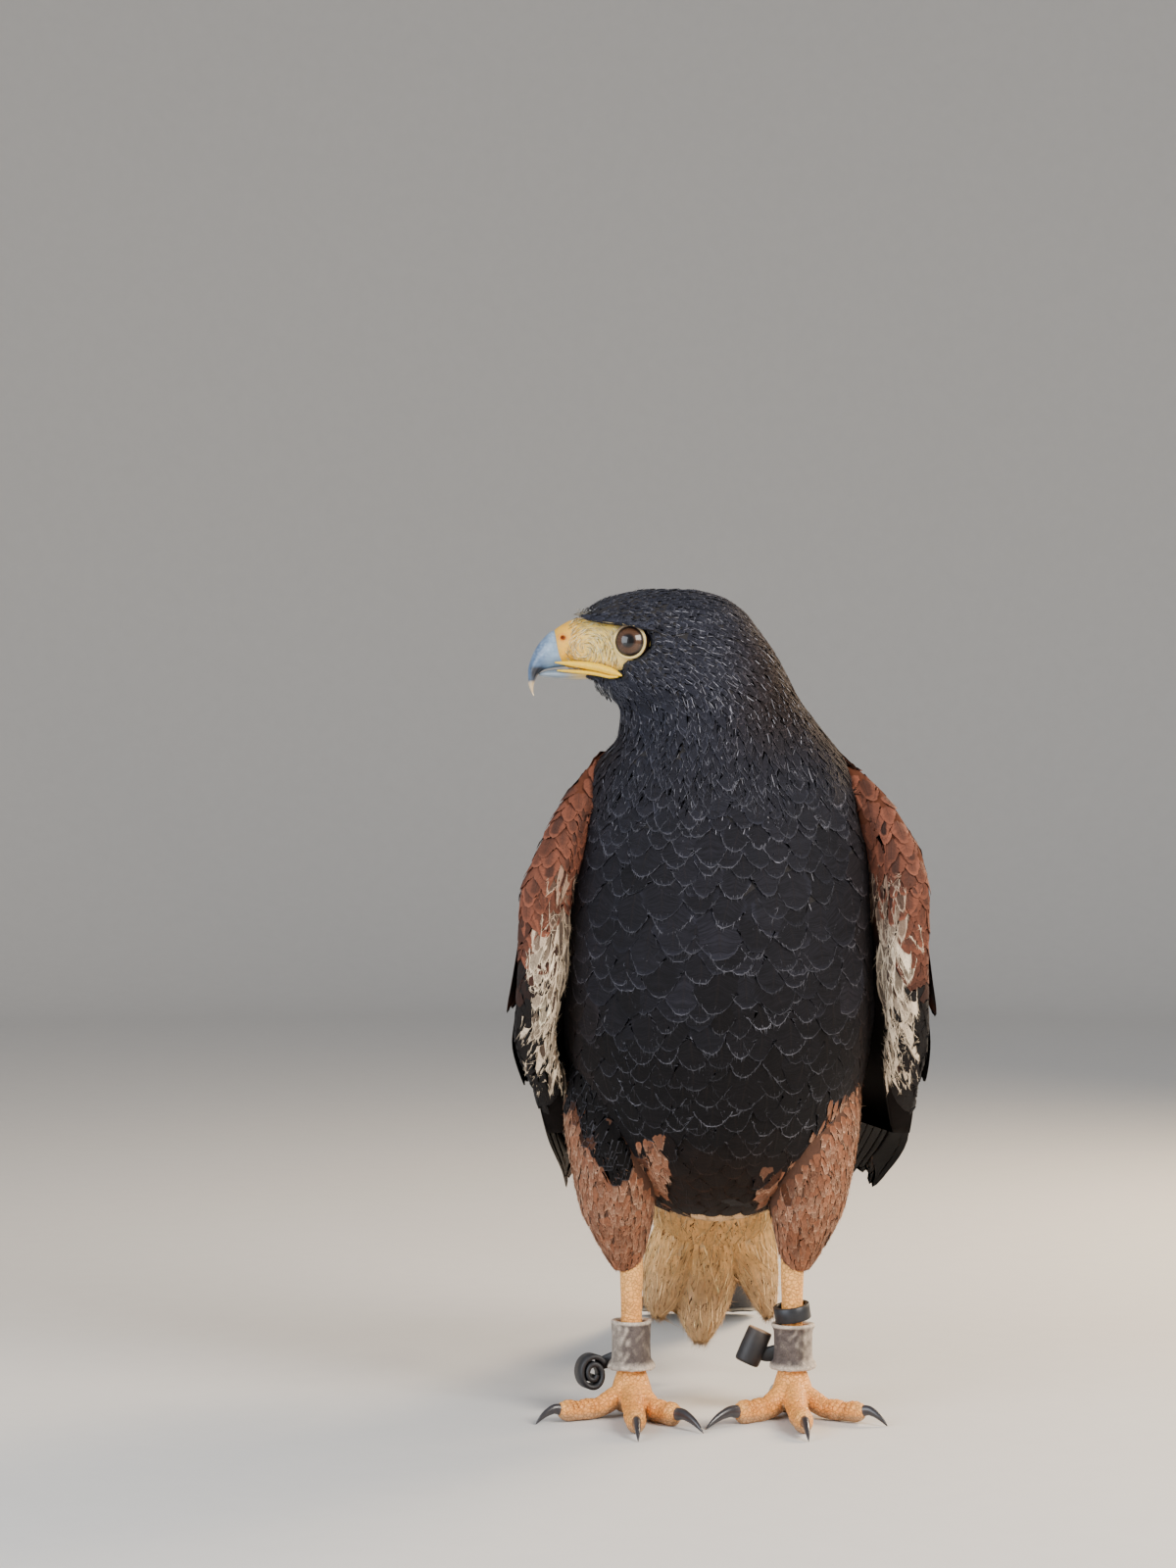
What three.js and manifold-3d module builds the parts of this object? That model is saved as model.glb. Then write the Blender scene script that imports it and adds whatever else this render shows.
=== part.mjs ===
// An adult Harris hawk at life size, standing on flat ground with its head turned to its right.
// Millimetres, +Z up. The hawk faces -Y; its left side is +X. The exported group is moved so that
// the origin lies under the middle of the model, on the ground.
import * as THREE from "three";
import { mergeVertices } from "three/addons/utils/BufferGeometryUtils.js";
import Module from "manifold-3d";

const wasm = await Module();
wasm.setup();

// Driving dimensions
const GAP = 0.35; // between two nodes that touch
const GROUND = 0; // height of the ground
const SHORT_EDGE = 0.5; // edges under this are closed up where that leaves the surface as it was
const LEAST_EDGE = 0.004; // and under this wherever they are
const BODY_SIDES = 28; // points round the body, neck and head
const BODY_TOP = 379.6; // height of the crown
const BODY_STEP = 15; // spacing of the body's rings
const VANE_THICK = 0.6; // thickness of a feather vane
const FEATHER_ROLL = 0.1; // rise across a vane, so that each lies over the next
const EYE_RADIUS = 8.6;
const EYE_HEIGHT = 354.2;
const EYE_ALONG = -40.2; // where the eyes stand along X; the bill points to -X
const HEAD_MIDDLE = -9; // the head's middle plane, along Y
const EYE_OUT = 15.6; // from the middle plane to each eye's centre
const LEG_X = { left: 34, right: -40 };
const LEG_Y = 4;
const SHANK_RADIUS = 4.9;
const SHANK_BOTTOM = 20.4;
const SHANK_TOP = 79;
const SIDES = { left: 1, right: -1 };
const HEAD_CUT = 318; // height of the slanting parting between head and neck, at the middle
const HEAD_TILT = -24; // degrees, how that parting slants
const NECK_CUT = 289; // height of the parting between neck and torso
const FAR = 400; // wide enough to reach past the whole hawk

// Colours, roughness and metalness
const material = (colour, roughness = 0.8, metalness = 0) =>
  new THREE.MeshStandardMaterial({ color: colour, roughness, metalness });
const darkFeather = material(0x2b2220);
const wingFeather = material(0x4a2c20);
const tailFeather = material(0x241b18);
const thighFeather = material(0x8a4a2c);
const paleFeather = material(0xe6d3b4);
const yellowSkin = material(0xe8b93a, 0.5);
const horn = material(0x5f6f7c, 0.35);
const eyeBrown = material(0x3a2214, 0.1);
const legSkin = material(0xe0a060, 0.6);
const clawHorn = material(0x1c1a1c, 0.3);
const strapLeather = material(0x6b5648, 0.85);
const blackLeather = material(0x1b1b1e, 0.6);
const ringMetal = material(0x33363a, 0.4, 0.8);

const clamp = (x, low, high) => Math.min(high, Math.max(low, x));
const mix = (a, b, t) => a + (b - a) * t;
const degrees = Math.PI / 180;

// A smooth curve through [key, value] pairs with rising keys; it stays level past both ends.
function curve(...pairs) {
  const slopes = pairs.map(([k, v], i) => {
    if (i === 0 || i === pairs.length - 1) return 0;
    const before = (v - pairs[i - 1][1]) / (k - pairs[i - 1][0]);
    const after = (pairs[i + 1][1] - v) / (pairs[i + 1][0] - k);
    return before * after <= 0 ? 0 : (2 * before * after) / (before + after);
  });
  slopes[0] = (pairs[1][1] - pairs[0][1]) / (pairs[1][0] - pairs[0][0]);
  const last = pairs.length - 1;
  slopes[last] = (pairs[last][1] - pairs[last - 1][1]) / (pairs[last][0] - pairs[last - 1][0]);
  return (key) => {
    const x = clamp(key, pairs[0][0], pairs[last][0]);
    let i = 0;
    while (i < last - 1 && x > pairs[i + 1][0]) i += 1;
    const width = pairs[i + 1][0] - pairs[i][0];
    const t = (x - pairs[i][0]) / width;
    const a = 2 * t ** 3 - 3 * t ** 2 + 1;
    const b = t ** 3 - 2 * t ** 2 + t;
    const c = -2 * t ** 3 + 3 * t ** 2;
    const d = t ** 3 - t ** 2;
    return a * pairs[i][1] + b * width * slopes[i] + c * pairs[i + 1][1] + d * width * slopes[i + 1];
  };
}

// A closed mesh from points and triangles, as a solid whose faces point out.
function solidFrom(points, triangles) {
  const geometry = new THREE.BufferGeometry();
  geometry.setAttribute("position", new THREE.Float32BufferAttribute(points.flatMap((p) => p.toArray()), 3));
  geometry.setIndex(triangles.flat());
  return solidOf(geometry);
}

function solidOf(geometry) {
  const bare = geometry.clone();
  bare.deleteAttribute("normal");
  bare.deleteAttribute("uv");
  const merged = mergeVertices(bare, 1e-4);
  const vertProperties = new Float32Array(merged.attributes.position.array);
  const triVerts = new Uint32Array(merged.index.array);
  const made = new wasm.Manifold(new wasm.Mesh({ numProp: 3, vertProperties, triVerts }));
  if (made.volume() > 0) return made;
  for (let i = 0; i < triVerts.length; i += 3) {
    [triVerts[i + 1], triVerts[i + 2]] = [triVerts[i + 2], triVerts[i + 1]];
  }
  return new wasm.Manifold(new wasm.Mesh({ numProp: 3, vertProperties, triVerts }));
}

// A solid through rings of points, each ring closed by a fan at the two ends.
function loft(rings) {
  const count = rings[0].length;
  const points = rings.flat();
  const triangles = [];
  for (let r = 0; r + 1 < rings.length; r += 1) {
    for (let i = 0; i < count; i += 1) {
      const a = r * count + i;
      const b = r * count + ((i + 1) % count);
      triangles.push([a, b, b + count], [a, b + count, a + count]);
    }
  }
  for (const r of [0, rings.length - 1]) {
    const middle = new THREE.Vector3();
    rings[r].forEach((p) => middle.addScaledVector(p, 1 / count));
    points.push(middle);
    for (let i = 0; i < count; i += 1) {
      const a = r * count + i;
      const b = r * count + ((i + 1) % count);
      triangles.push(r === 0 ? [b, a, points.length - 1] : [a, b, points.length - 1]);
    }
  }
  return solidFrom(points, triangles);
}

// A solid between two grids of points with the same rows and columns, split alike on both faces.
function sheet(upper, under) {
  const wide = upper[0].length;
  const count = upper.length * wide;
  const points = [...upper.flat(), ...under.flat()];
  const triangles = [];
  const quad = (a, b, c, d) => triangles.push([a, b, c], [a, c, d]);
  for (let i = 0; i + 1 < upper.length; i += 1) {
    for (let j = 0; j + 1 < wide; j += 1) {
      const [a, b, c, d] = [i * wide + j, i * wide + j + 1, (i + 1) * wide + j + 1, (i + 1) * wide + j];
      quad(a, b, c, d);
      triangles.push([a + count, c + count, b + count], [a + count, d + count, c + count]);
    }
    const [near, far] = [i * wide, (i + 1) * wide];
    quad(near + count, near, far, far + count);
    quad(near + wide - 1, near + wide - 1 + count, far + wide - 1 + count, far + wide - 1);
  }
  for (let j = 0; j + 1 < wide; j += 1) {
    const last = (upper.length - 1) * wide + j;
    quad(j, j + count, j + 1 + count, j + 1);
    quad(last + 1, last + 1 + count, last + count, last);
  }
  return solidFrom(points, triangles);
}

// An oval ring at a height, in a horizontal plane.
function levelRing(count, z, cx, cy, rx, ry) {
  return Array.from({ length: count }, (_, i) => {
    const turn = (i / count) * 2 * Math.PI;
    return new THREE.Vector3(cx + rx * Math.cos(turn), cy + ry * Math.sin(turn), z);
  });
}

// A solid along a path: each stop has a place, a half width across and a half height.
function limb(stops, count = 8, across = null) {
  const rings = stops.map((stop, i) => {
    const before = stops[Math.max(0, i - 1)].at;
    const after = stops[Math.min(stops.length - 1, i + 1)].at;
    const along = after.clone().sub(before).normalize();
    const side = across ? across.clone() : new THREE.Vector3(along.y, -along.x, 0);
    if (side.lengthSq() < 1e-6) side.set(1, 0, 0);
    side.addScaledVector(along, -side.dot(along)).normalize();
    const up = side.clone().cross(along);
    return Array.from({ length: count }, (_, k) => {
      const turn = ((k + 0.5) / count) * 2 * Math.PI;
      return stop.at
        .clone()
        .addScaledVector(side, stop.wide * Math.cos(turn))
        .addScaledVector(up, stop.high * Math.sin(turn));
    });
  });
  return loft(rings);
}

const union = (...solids) => wasm.Manifold.union(solids);
const point = (x, y, z) => new THREE.Vector3(x, y, z);

function block(low, high) {
  const size = high.clone().sub(low);
  const box = new THREE.BoxGeometry(size.x, size.y, size.z);
  const middle = low.clone().add(high).multiplyScalar(0.5);
  return solidOf(box.translate(middle.x, middle.y, middle.z));
}

function ball(at, radius, wide = 14, high = 9) {
  const sphere = new THREE.SphereGeometry(radius, wide, high).rotateX(Math.PI / 2);
  return solidOf(sphere.translate(at.x, at.y, at.z));
}

// Draws the ends of very short edges together where the surface keeps its shape and stays closed.
function withoutShortEdges(points, triangles, shortest, mayTurn) {
  const around = points.map(() => new Set());
  triangles.forEach((corners, i) => corners.forEach((c) => around[c].add(i)));
  const normal = (corners) => {
    const [a, b, c] = corners.map((k) => points[k]);
    return b.clone().sub(a).cross(c.clone().sub(a));
  };
  const neighbours = (v) => new Set([...around[v]].flatMap((i) => triangles[i]).filter((c) => c !== v));
  const drawTogether = (kept, gone) => {
    const shared = [...around[gone]].filter((i) => triangles[i].includes(kept));
    const near = neighbours(kept);
    const common = [...neighbours(gone)].filter((c) => near.has(c));
    if (shared.length !== 2 || common.length !== 2) return false;
    const moved = [...around[gone]].filter((i) => !shared.includes(i));
    const turned = moved.some((i) => {
      const before = normal(triangles[i]);
      const after = normal(triangles[i].map((c) => (c === gone ? kept : c)));
      return after.dot(before) < 0.5 * before.lengthSq();
    });
    if (turned && !mayTurn) return false;
    for (const i of shared) {
      triangles[i].forEach((c) => around[c].delete(i));
      triangles[i] = null;
    }
    for (const i of moved) {
      triangles[i] = triangles[i].map((c) => (c === gone ? kept : c));
      around[kept].add(i);
    }
    around[gone].clear();
    return true;
  };
  for (let i = 0; i < triangles.length; i += 1) {
    for (let k = 0; k < 3 && triangles[i]; k += 1) {
      const a = triangles[i][k];
      const b = triangles[i][(k + 1) % 3];
      if (points[a].distanceTo(points[b]) < shortest && !drawTogether(a, b)) drawTogether(b, a);
    }
  }
  return triangles.filter(Boolean);
}

const largest = (solid) => solid.decompose().reduce((a, b) => (b.volume() > a.volume() ? b : a));

// Body, neck and head are one surface of level ovals. Each row gives a height, then how far the oval
// reaches to the right side, the left side, the front and the back, and where its widest place is.
const bodyRows = [
  [86, -7, 7, 26, 62, 0],
  [89, -22, 22, 10, 80, 0],
  [96, -37, 37, -9, 92, 0],
  [108, -50, 50, -27, 99, 0],
  [125, -61, 61, -44, 101, 0],
  [145, -68, 68, -56, 97, 0],
  [170, -73, 73, -63, 85, 0],
  [200, -75, 75, -66, 71, 0],
  [230, -74, 74, -64, 59, 0],
  [258, -71, 73, -57, 49, 0],
  [280, -67, 69, -50, 42, 0],
  [298, -60, 62, -44, 37, 0],
  [312, -48, 51, -40, 29, -1],
  [324, -46.5, 41, -38, 23, -4],
  [338, -53, 32.5, -37, 19, -11],
  [350, -59, 25.5, -35, 17, -15],
  [360, -60.5, 18.5, -33, 15, -16],
  [368, -57, 12, -29, 11, -18],
  [374.5, -49, 3, -22, 4, -21],
  [BODY_TOP, -29, -14, -12, -6, -21],
];
const bodyPart = (column) => curve(...bodyRows.map((row) => [row[0], row[column]]));
const bodyOutline = {
  right: bodyPart(1),
  left: bodyPart(2),
  front: bodyPart(3),
  back: bodyPart(4),
  widest: bodyPart(5),
};

// A point of the body's surface: turn 0 faces front and 90 degrees faces the hawk's left.
function bodyPoint(turn, z, grow = 0) {
  const x0 = bodyOutline.widest(z);
  const y0 = (bodyOutline.front(z) + bodyOutline.back(z)) / 2;
  const reachX = Math.sin(turn) > 0 ? bodyOutline.left(z) - x0 : x0 - bodyOutline.right(z);
  const reachY = (bodyOutline.back(z) - bodyOutline.front(z)) / 2;
  return point(x0 + (reachX + grow) * Math.sin(turn), y0 - (reachY + grow) * Math.cos(turn), z);
}

function bodySolid(grow = 0) {
  const low = bodyRows[0][0];
  const steps = Math.round((BODY_TOP - low) / BODY_STEP);
  const heights = Array.from({ length: steps + 1 }, (_, i) => mix(low, BODY_TOP, i / steps));
  heights.splice(1, 0, low + 3.5);
  heights.splice(heights.length - 1, 0, BODY_TOP - 4.5);
  const rings = heights.map((z, i) => {
    const lift = i === 0 ? -grow : i === heights.length - 1 ? grow : 0;
    return Array.from({ length: BODY_SIDES }, (_, k) => {
      const p = bodyPoint((k / BODY_SIDES) * 2 * Math.PI, z, grow);
      p.z += lift;
      return p;
    });
  });
  return loft(rings);
}

const bodyGrown = bodySolid(GAP);

// A feather vane: a thin strip laid on a surface of two parameters, from its root to its tip.
function vane(surface, feather) {
  const { root, tip, width, bow = 0, lift = [0, 0], roll = 0, rows = 4, ridge = 0 } = feather;
  const columns = ridge ? [-1, 0, 1] : [-1, 1];
  const step = 0.002;
  const centre = (t) => {
    const swell = bow * Math.sin(t * Math.PI);
    return [mix(root[0], tip[0], t) + swell, mix(root[1], tip[1], t)];
  };
  const frameAt = (t) => {
    const [p, q] = centre(t);
    const at = surface(p, q);
    const alongP = surface(p + step, q).sub(at).divideScalar(step);
    const alongQ = surface(p, q + step).sub(at).divideScalar(step);
    const [p2, q2] = centre(t + 0.01);
    const forward = surface(p2, q2).sub(at).normalize();
    const normal = alongP.clone().cross(alongQ).normalize();
    return { p, q, alongP, alongQ, normal, side: normal.clone().cross(forward).normalize() };
  };
  // Where the surface lies a distance to one side of the vane's middle.
  const beside = (f, distance) => {
    const pp = f.alongP.dot(f.alongP);
    const qq = f.alongQ.dot(f.alongQ);
    const pq = f.alongP.dot(f.alongQ);
    const sp = f.side.dot(f.alongP) * distance;
    const sq = f.side.dot(f.alongQ) * distance;
    const det = pp * qq - pq * pq;
    return surface(f.p + (sp * qq - sq * pq) / det, f.q + (sq * pp - sp * pq) / det);
  };
  const shape = (t) => Math.min(1, 0.5 + 1.1 * t) * Math.sqrt(1 - clamp((t - 0.72) / 0.3, 0, 0.97) ** 2);
  const rowsAt = (face) =>
    Array.from({ length: rows + 1 }, (_, i) => {
      const t = i / rows;
      const f = frameAt(t);
      const half = (width / 2) * shape(t);
      return columns.map((across) => {
        const height = mix(lift[0], lift[1], t) + roll * half * across + ridge * half * (1 - across * across);
        return beside(f, half * across).addScaledVector(f.normal, height + (face * VANE_THICK) / 2);
      });
    });
  return sheet(rowsAt(1), rowsAt(-1));
}

// The outside of a folded wing, by height: its front and back edges, how far out it stands, and how
// near the middle its back edge comes, as a share of that.
const ARM_SUNK = 2.6; // how far the arm lies under the wing's outside
const wingOutline = {
  front: curve(
    ...[[58, 206], [78, 145], [95, 88], [115, 38], [140, 2]],
    ...[[170, -20], [205, -34], [240, -37], [270, -28], [307, -4]],
  ),
  back: curve(
    ...[[58, 216], [78, 206], [95, 188], [115, 165], [140, 135]],
    ...[[170, 106], [205, 84], [240, 67], [270, 53], [307, 31]],
  ),
  out: {
    left: curve(
      ...[[58, 84], [100, 92], [124, 94], [150, 92.5], [175, 95.8], [205, 94.7]],
      ...[[240, 95], [258, 92.5], [270, 86.5], [286, 76.5], [298, 64], [307, 52]],
    ),
    right: curve(
      ...[[58, 64], [100, 71], [124, 80], [150, 87], [175, 95], [205, 93.5]],
      ...[[240, 92.5], [258, 86], [270, 80.5], [286, 71.5], [298, 62], [307, 52]],
    ),
  },
  wrap: curve(
    ...[[58, 0.97], [78, 0.84], [95, 0.66], [115, 0.42], [140, 0.22]],
    ...[[170, 0.13], [205, 0.1], [240, 0.12], [270, 0.22], [307, 0.5]],
  ),
};
const WING_HUG = 1.3; // how closely the wing's back half hugs the body

// A point of the outside of a wing: share 0 is the front edge and 1 the back edge.
function wingPoint(sideName, share, z) {
  const turn = (share * Math.PI) / 2;
  const out = wingOutline.out[sideName](z);
  const wrap = wingOutline.wrap(z);
  const front = wingOutline.front(z);
  const x = out * (wrap + (1 - wrap) * Math.sign(Math.cos(turn)) * Math.abs(Math.cos(turn)) ** WING_HUG);
  const y = front + (wingOutline.back(z) - front) * Math.sin(turn);
  return point(SIDES[sideName] * x, y, z);
}

// The arm of the wing lies under its feathers, thick near the front edge and thinner to the back.
function wingArm(sideName) {
  const heights = [148, 162, 180, 200, 220, 240, 258, 272, 284, 296, 306];
  const shares = [0, 0.1, 0.22, 0.36, 0.52, 0.68, 0.84, 1];
  const depthAt = curve([0, 7], [0.1, 23], [0.3, 25], [0.6, 17], [1, 7]);
  const thinner = curve([148, 0.22], [170, 0.75], [205, 1], [266, 1], [306, 0.6]);
  const layer = (sink) => heights.map((z) =>
    shares.map((share) => {
      const here = wingPoint(sideName, share, z);
      const ahead = wingPoint(sideName, share + 0.01, z).sub(here).normalize();
      const inward = point(-ahead.y, ahead.x, 0).multiplyScalar(SIDES[sideName]);
      return here.addScaledVector(inward, ARM_SUNK + sink * depthAt(share) * thinner(z));
    }),
  );
  return sheet(layer(0), layer(1));
}

// Tiers of a wing's feathers, each a row of vanes between its first and last feather. Roots and tips
// are [share, height] on the wing's outside; inner tiers lie lower than those that cover them.
const wingTiers = [
  {
    name: "primaries",
    count: 6,
    root: [[0.12, 176], [0.42, 164]],
    tip: [[0.46, 82], [0.9, 63]],
    width: 23,
    lift: [-6, -0.6],
    rows: 4,
  },
  {
    name: "secondaries",
    count: 8,
    root: [[0.14, 206], [0.78, 212]],
    tip: [[0.2, 112], [0.86, 118]],
    width: 26,
    lift: [-5.4, 1.6],
    rows: 4,
  },
  {
    name: "tertials",
    count: 3,
    root: [[0.74, 236], [0.92, 242]],
    tip: [[0.78, 136], [0.96, 150]],
    width: 27,
    lift: [-5.4, 3.8],
    rows: 4,
  },
  {
    name: "greater coverts",
    count: 7,
    root: [[0.07, 212], [0.62, 228]],
    tip: [[0.05, 152], [0.66, 168]],
    width: 24,
    lift: [-5.4, 3.8],
    rows: 3,
  },
  {
    name: "median coverts",
    count: 7,
    root: [[0.06, 246], [0.8, 260]],
    tip: [[0.06, 188], [0.82, 212]],
    width: 25,
    lift: [-5.4, 4.6],
    rows: 3,
  },
];

function wing(sideName) {
  const surface = (share, height) => wingPoint(sideName, share, height * 100);
  const vanes = wingTiers.flatMap((tier) =>
    Array.from({ length: tier.count }, (_, i) => {
      const t = i / (tier.count - 1);
      const place = ([first, last]) => [mix(first[0], last[0], t), mix(first[1], last[1], t) / 100];
      return vane(surface, {
        root: place(tier.root),
        tip: place(tier.tip),
        width: tier.width,
        lift: tier.lift.map((x) => x * SIDES[sideName]),
        roll: FEATHER_ROLL,
        rows: tier.rows,
      });
    }),
  );
  return largest(union(wingArm(sideName), ...vanes).subtract(bodyGrown));
}

// The tail's upper face: share -1 to 1 across, and 0 to 1 along from the rump to the tip.
const tailLine = {
  y: curve([0, 74], [1, 291]),
  z: curve([0, 113], [0.21, 88], [0.42, 62], [0.63, 37.5], [0.82, 16.6], [1, 3.7]),
};
const TAIL_HALF = curve([0, 12], [0.3, 19], [1, 37]);
const TAIL_ARCH = 3;

function tailPoint(across, along) {
  const sag = TAIL_ARCH * across * across * (1 - along);
  return point(across * TAIL_HALF(along), tailLine.y(along), tailLine.z(along) - sag);
}

function tail() {
  const feathers = [];
  const pairs = 6;
  for (let i = 0; i < pairs; i += 1) {
    for (const side of [-1, 1]) {
      const out = (i + 0.5) / pairs;
      feathers.push(
        vane(tailPoint, {
          root: [side * out * 0.5, 0.16],
          tip: [side * out * 0.72, 1 - 0.02 * out * out],
          width: 23,
          lift: [-2.4 - 0.3 * i, -0.45 - 0.75 * i],
          roll: side * -0.02,
        }),
      );
    }
  }
  const across = point(1, 0, 0);
  const base = limb(
    [
      { at: point(0, 62, 118), wide: 27, high: 19 },
      { at: point(0, 84, 106), wide: 26, high: 17 },
      { at: point(0, 108, 92), wide: 22, high: 11 },
      { at: point(0, 132, 78.5), wide: 18, high: 5.5 },
      { at: point(0, 150, 68), wide: 15, high: 2.2 },
    ],
    12,
    across,
  );
  const floor = block(point(-FAR, 0, GROUND), point(FAR, FAR, FAR));
  return largest(union(base, ...feathers).subtract(bodyGrown).intersect(floor));
}

// The pale feathers that hang under the root of the tail.
function undertail(tailSolid) {
  const across = point(1, 0, 0);
  const vent = limb(
    [
      { at: point(0, 40, 92), wide: 15, high: 9 },
      { at: point(0, 56, 84), wide: 23, high: 14 },
      { at: point(0, 76, 78), wide: 24, high: 15 },
      { at: point(0, 96, 74), wide: 19, high: 11 },
      { at: point(0, 110, 72), wide: 11, high: 6 },
    ],
    12,
    across,
  );
  const skirt = (share, drop) => {
    const turn = share * 62 * degrees;
    const reach = mix(17, 27, drop);
    const y = mix(84, 112, drop) - reach * Math.cos(turn) * 0.9;
    return point(reach * Math.sin(turn), y, mix(88, 24, drop));
  };
  const under = [];
  for (const [count, start, end, lift] of [[6, 0.12, 0.72, 1], [5, 0.2, 1, 0.4]]) {
    for (let i = 0; i < count; i += 1) {
      const share = mix(-1, 1, i / (count - 1));
      under.push(
        vane(skirt, {
          root: [share * 0.7, start],
          tip: [share, end - 0.12 * Math.abs(share)],
          width: 16,
          lift: [-4, lift],
          roll: FEATHER_ROLL,
          rows: 3,
        }),
      );
    }
  }
  const clear = union(bodyGrown, tailSolid.translate(0, 0, -GAP), tailSolid.translate(0, -GAP, 0));
  return largest(union(vent, ...under).subtract(clear));
}

// Eyes, bill and cere. The head's own left side faces -Y.
const eyeAt = (side) => point(EYE_ALONG, HEAD_MIDDLE - side * EYE_OUT, EYE_HEIGHT);

function eyeRim(side) {
  const ring = new THREE.TorusGeometry(7.1, 1.25, 5, 14).rotateX(Math.PI / 2);
  const at = eyeAt(side);
  ring.rotateZ(side * 7 * degrees);
  return solidOf(ring.translate(at.x, at.y - side * 5.4, at.z));
}

function brow(side) {
  const out = (y) => HEAD_MIDDLE - side * y;
  return limb(
    [
      { at: point(-60, out(9), 363.6), wide: 2.4, high: 1.6 },
      { at: point(-52, out(15.2), 363.8), wide: 3.4, high: 2.2 },
      { at: point(-44, out(19.6), 362.6), wide: 4.4, high: 2.4 },
      { at: point(-36, out(21), 360.8), wide: 3.8, high: 2.2 },
      { at: point(-28, out(20.6), 358.6), wide: 2, high: 1.4 },
    ],
    8,
    point(0, 1, 0),
  );
}

// An upright oval ring across the bill, between a top point and a bottom point in the middle plane.
function billRing(top, bottom, half, count = 12) {
  return Array.from({ length: count }, (_, k) => {
    const turn = (k / count) * 2 * Math.PI;
    const t = 0.5 - 0.5 * Math.cos(turn);
    return point(
      mix(top[0], bottom[0], t),
      HEAD_MIDDLE + half * Math.sin(turn) * (0.82 + 0.18 * t),
      mix(top[1], bottom[1], t),
    );
  });
}

const CERE_END = [[-74.6, 360.6], [-71.4, 343.2], 8.2]; // its front edge: top, bottom and half width

function cere() {
  const mask = loft([
    billRing([-44, 362.5], [-46, 339], 12.5),
    billRing([-53, 365], [-52, 340.4], 12.4),
    billRing([-60, 366], [-58, 341.4], 11),
    billRing([-67, 364.6], [-65, 342.4], 9.6),
    billRing([-72, 362.4], [-69.4, 343], 8.8),
    billRing(...CERE_END),
  ]);
  const nostril = (side) =>
    limb(
      [
        { at: point(-70, HEAD_MIDDLE - side * 4, 355.4), wide: 1.5, high: 1.1 },
        { at: point(-69.6, HEAD_MIDDLE - side * 12, 355.8), wide: 1.9, high: 1.3 },
      ],
      8,
      point(1, 0, 0.6),
    );
  const gape = (side) => {
    const out = (y) => HEAD_MIDDLE - side * y;
    return limb(
      [
        { at: point(-69, out(8.4), 343.6), wide: 1.5, high: 1.1 },
        { at: point(-62, out(11), 343.2), wide: 1.8, high: 1.2 },
        { at: point(-54, out(15.6), 341.9), wide: 1.9, high: 1.2 },
        { at: point(-47, out(19.2), 340.2), wide: 1.5, high: 0.9 },
      ],
      6,
      point(0, 1, 0),
    );
  };
  return largest(
    union(mask, gape(1), gape(-1)).subtract(union(nostril(1), nostril(-1), bodyGrown, brow(1), brow(-1))),
  );
}

function upperBill() {
  const [top, bottom, half] = CERE_END;
  return loft([
    billRing([top[0] - GAP, top[1] - 0.1], [bottom[0] - GAP, bottom[1]], half - 0.2),
    billRing([-79.4, 357.8], [-76, 342.3], 7.4),
    billRing([-83.2, 353.2], [-79.8, 341.9], 6.3),
    billRing([-86, 347.6], [-82.2, 340.6], 4.9),
    billRing([-87.3, 342], [-83.9, 338], 3.5),
    billRing([-87.2, 337.2], [-84.9, 335.4], 2.3),
    billRing([-86.2, 333.4], [-84.9, 332.6], 1.3),
    billRing([-84.8, 330.4], [-84.2, 330.2], 0.5),
  ]);
}

function lowerBill() {
  const rim = (x, z) => [x, z];
  const scoop = loft([
    billRing(rim(-47, 339.6), rim(-47, 334), 9),
    billRing(rim(-56, 340.2), rim(-57, 336), 8.6),
    billRing(rim(-66, 341.4), rim(-67, 337), 7.4),
    billRing(rim(-74, 341.6), rim(-74.4, 337.2), 6),
    billRing(rim(-80, 340.8), rim(-79.8, 338), 3.6),
    billRing(rim(-82, 339.9), rim(-81.8, 339), 1.6),
  ]);
  const gape = (side) => {
    const out = (y) => HEAD_MIDDLE - side * y;
    return limb(
      [
        { at: point(-70, out(6.6), 340.3), wide: 1.2, high: 0.8 },
        { at: point(-62, out(10), 339.8), wide: 1.6, high: 0.9 },
        { at: point(-54, out(14.8), 338.4), wide: 1.7, high: 0.9 },
        { at: point(-47, out(18.6), 336.8), wide: 1.4, high: 0.8 },
      ],
      6,
      point(0, 1, 0),
    );
  };
  return union(scoop, gape(1), gape(-1));
}

// Legs. Each thigh's feathers hang round the top of the shank.
const thighRows = [
  [170, 8, 10, 20, 24],
  [150, 10, 6, 23, 28],
  [130, 9, 2, 22.5, 28],
  [110, 7.5, 0, 20.5, 25],
  [94, 6.3, 1, 18, 21],
  [84, 5, 2.5, 14.5, 16.5],
  [75, 3.6, 4, 11, 12.5],
  [68, 2, 4.8, 8, 9],
];

const THIGH_FEATHERS = 9;

function thighPoint(sideName, turn, z, grow = 0) {
  const rows = [...thighRows].reverse();
  const part = (column) => curve(...rows.map((row) => [row[0], row[column]]))(z);
  const cx = LEG_X[sideName] + SIDES[sideName] * part(1);
  return point(cx + (part(3) + grow) * Math.sin(turn), part(2) - (part(4) + grow) * Math.cos(turn), z);
}

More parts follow.
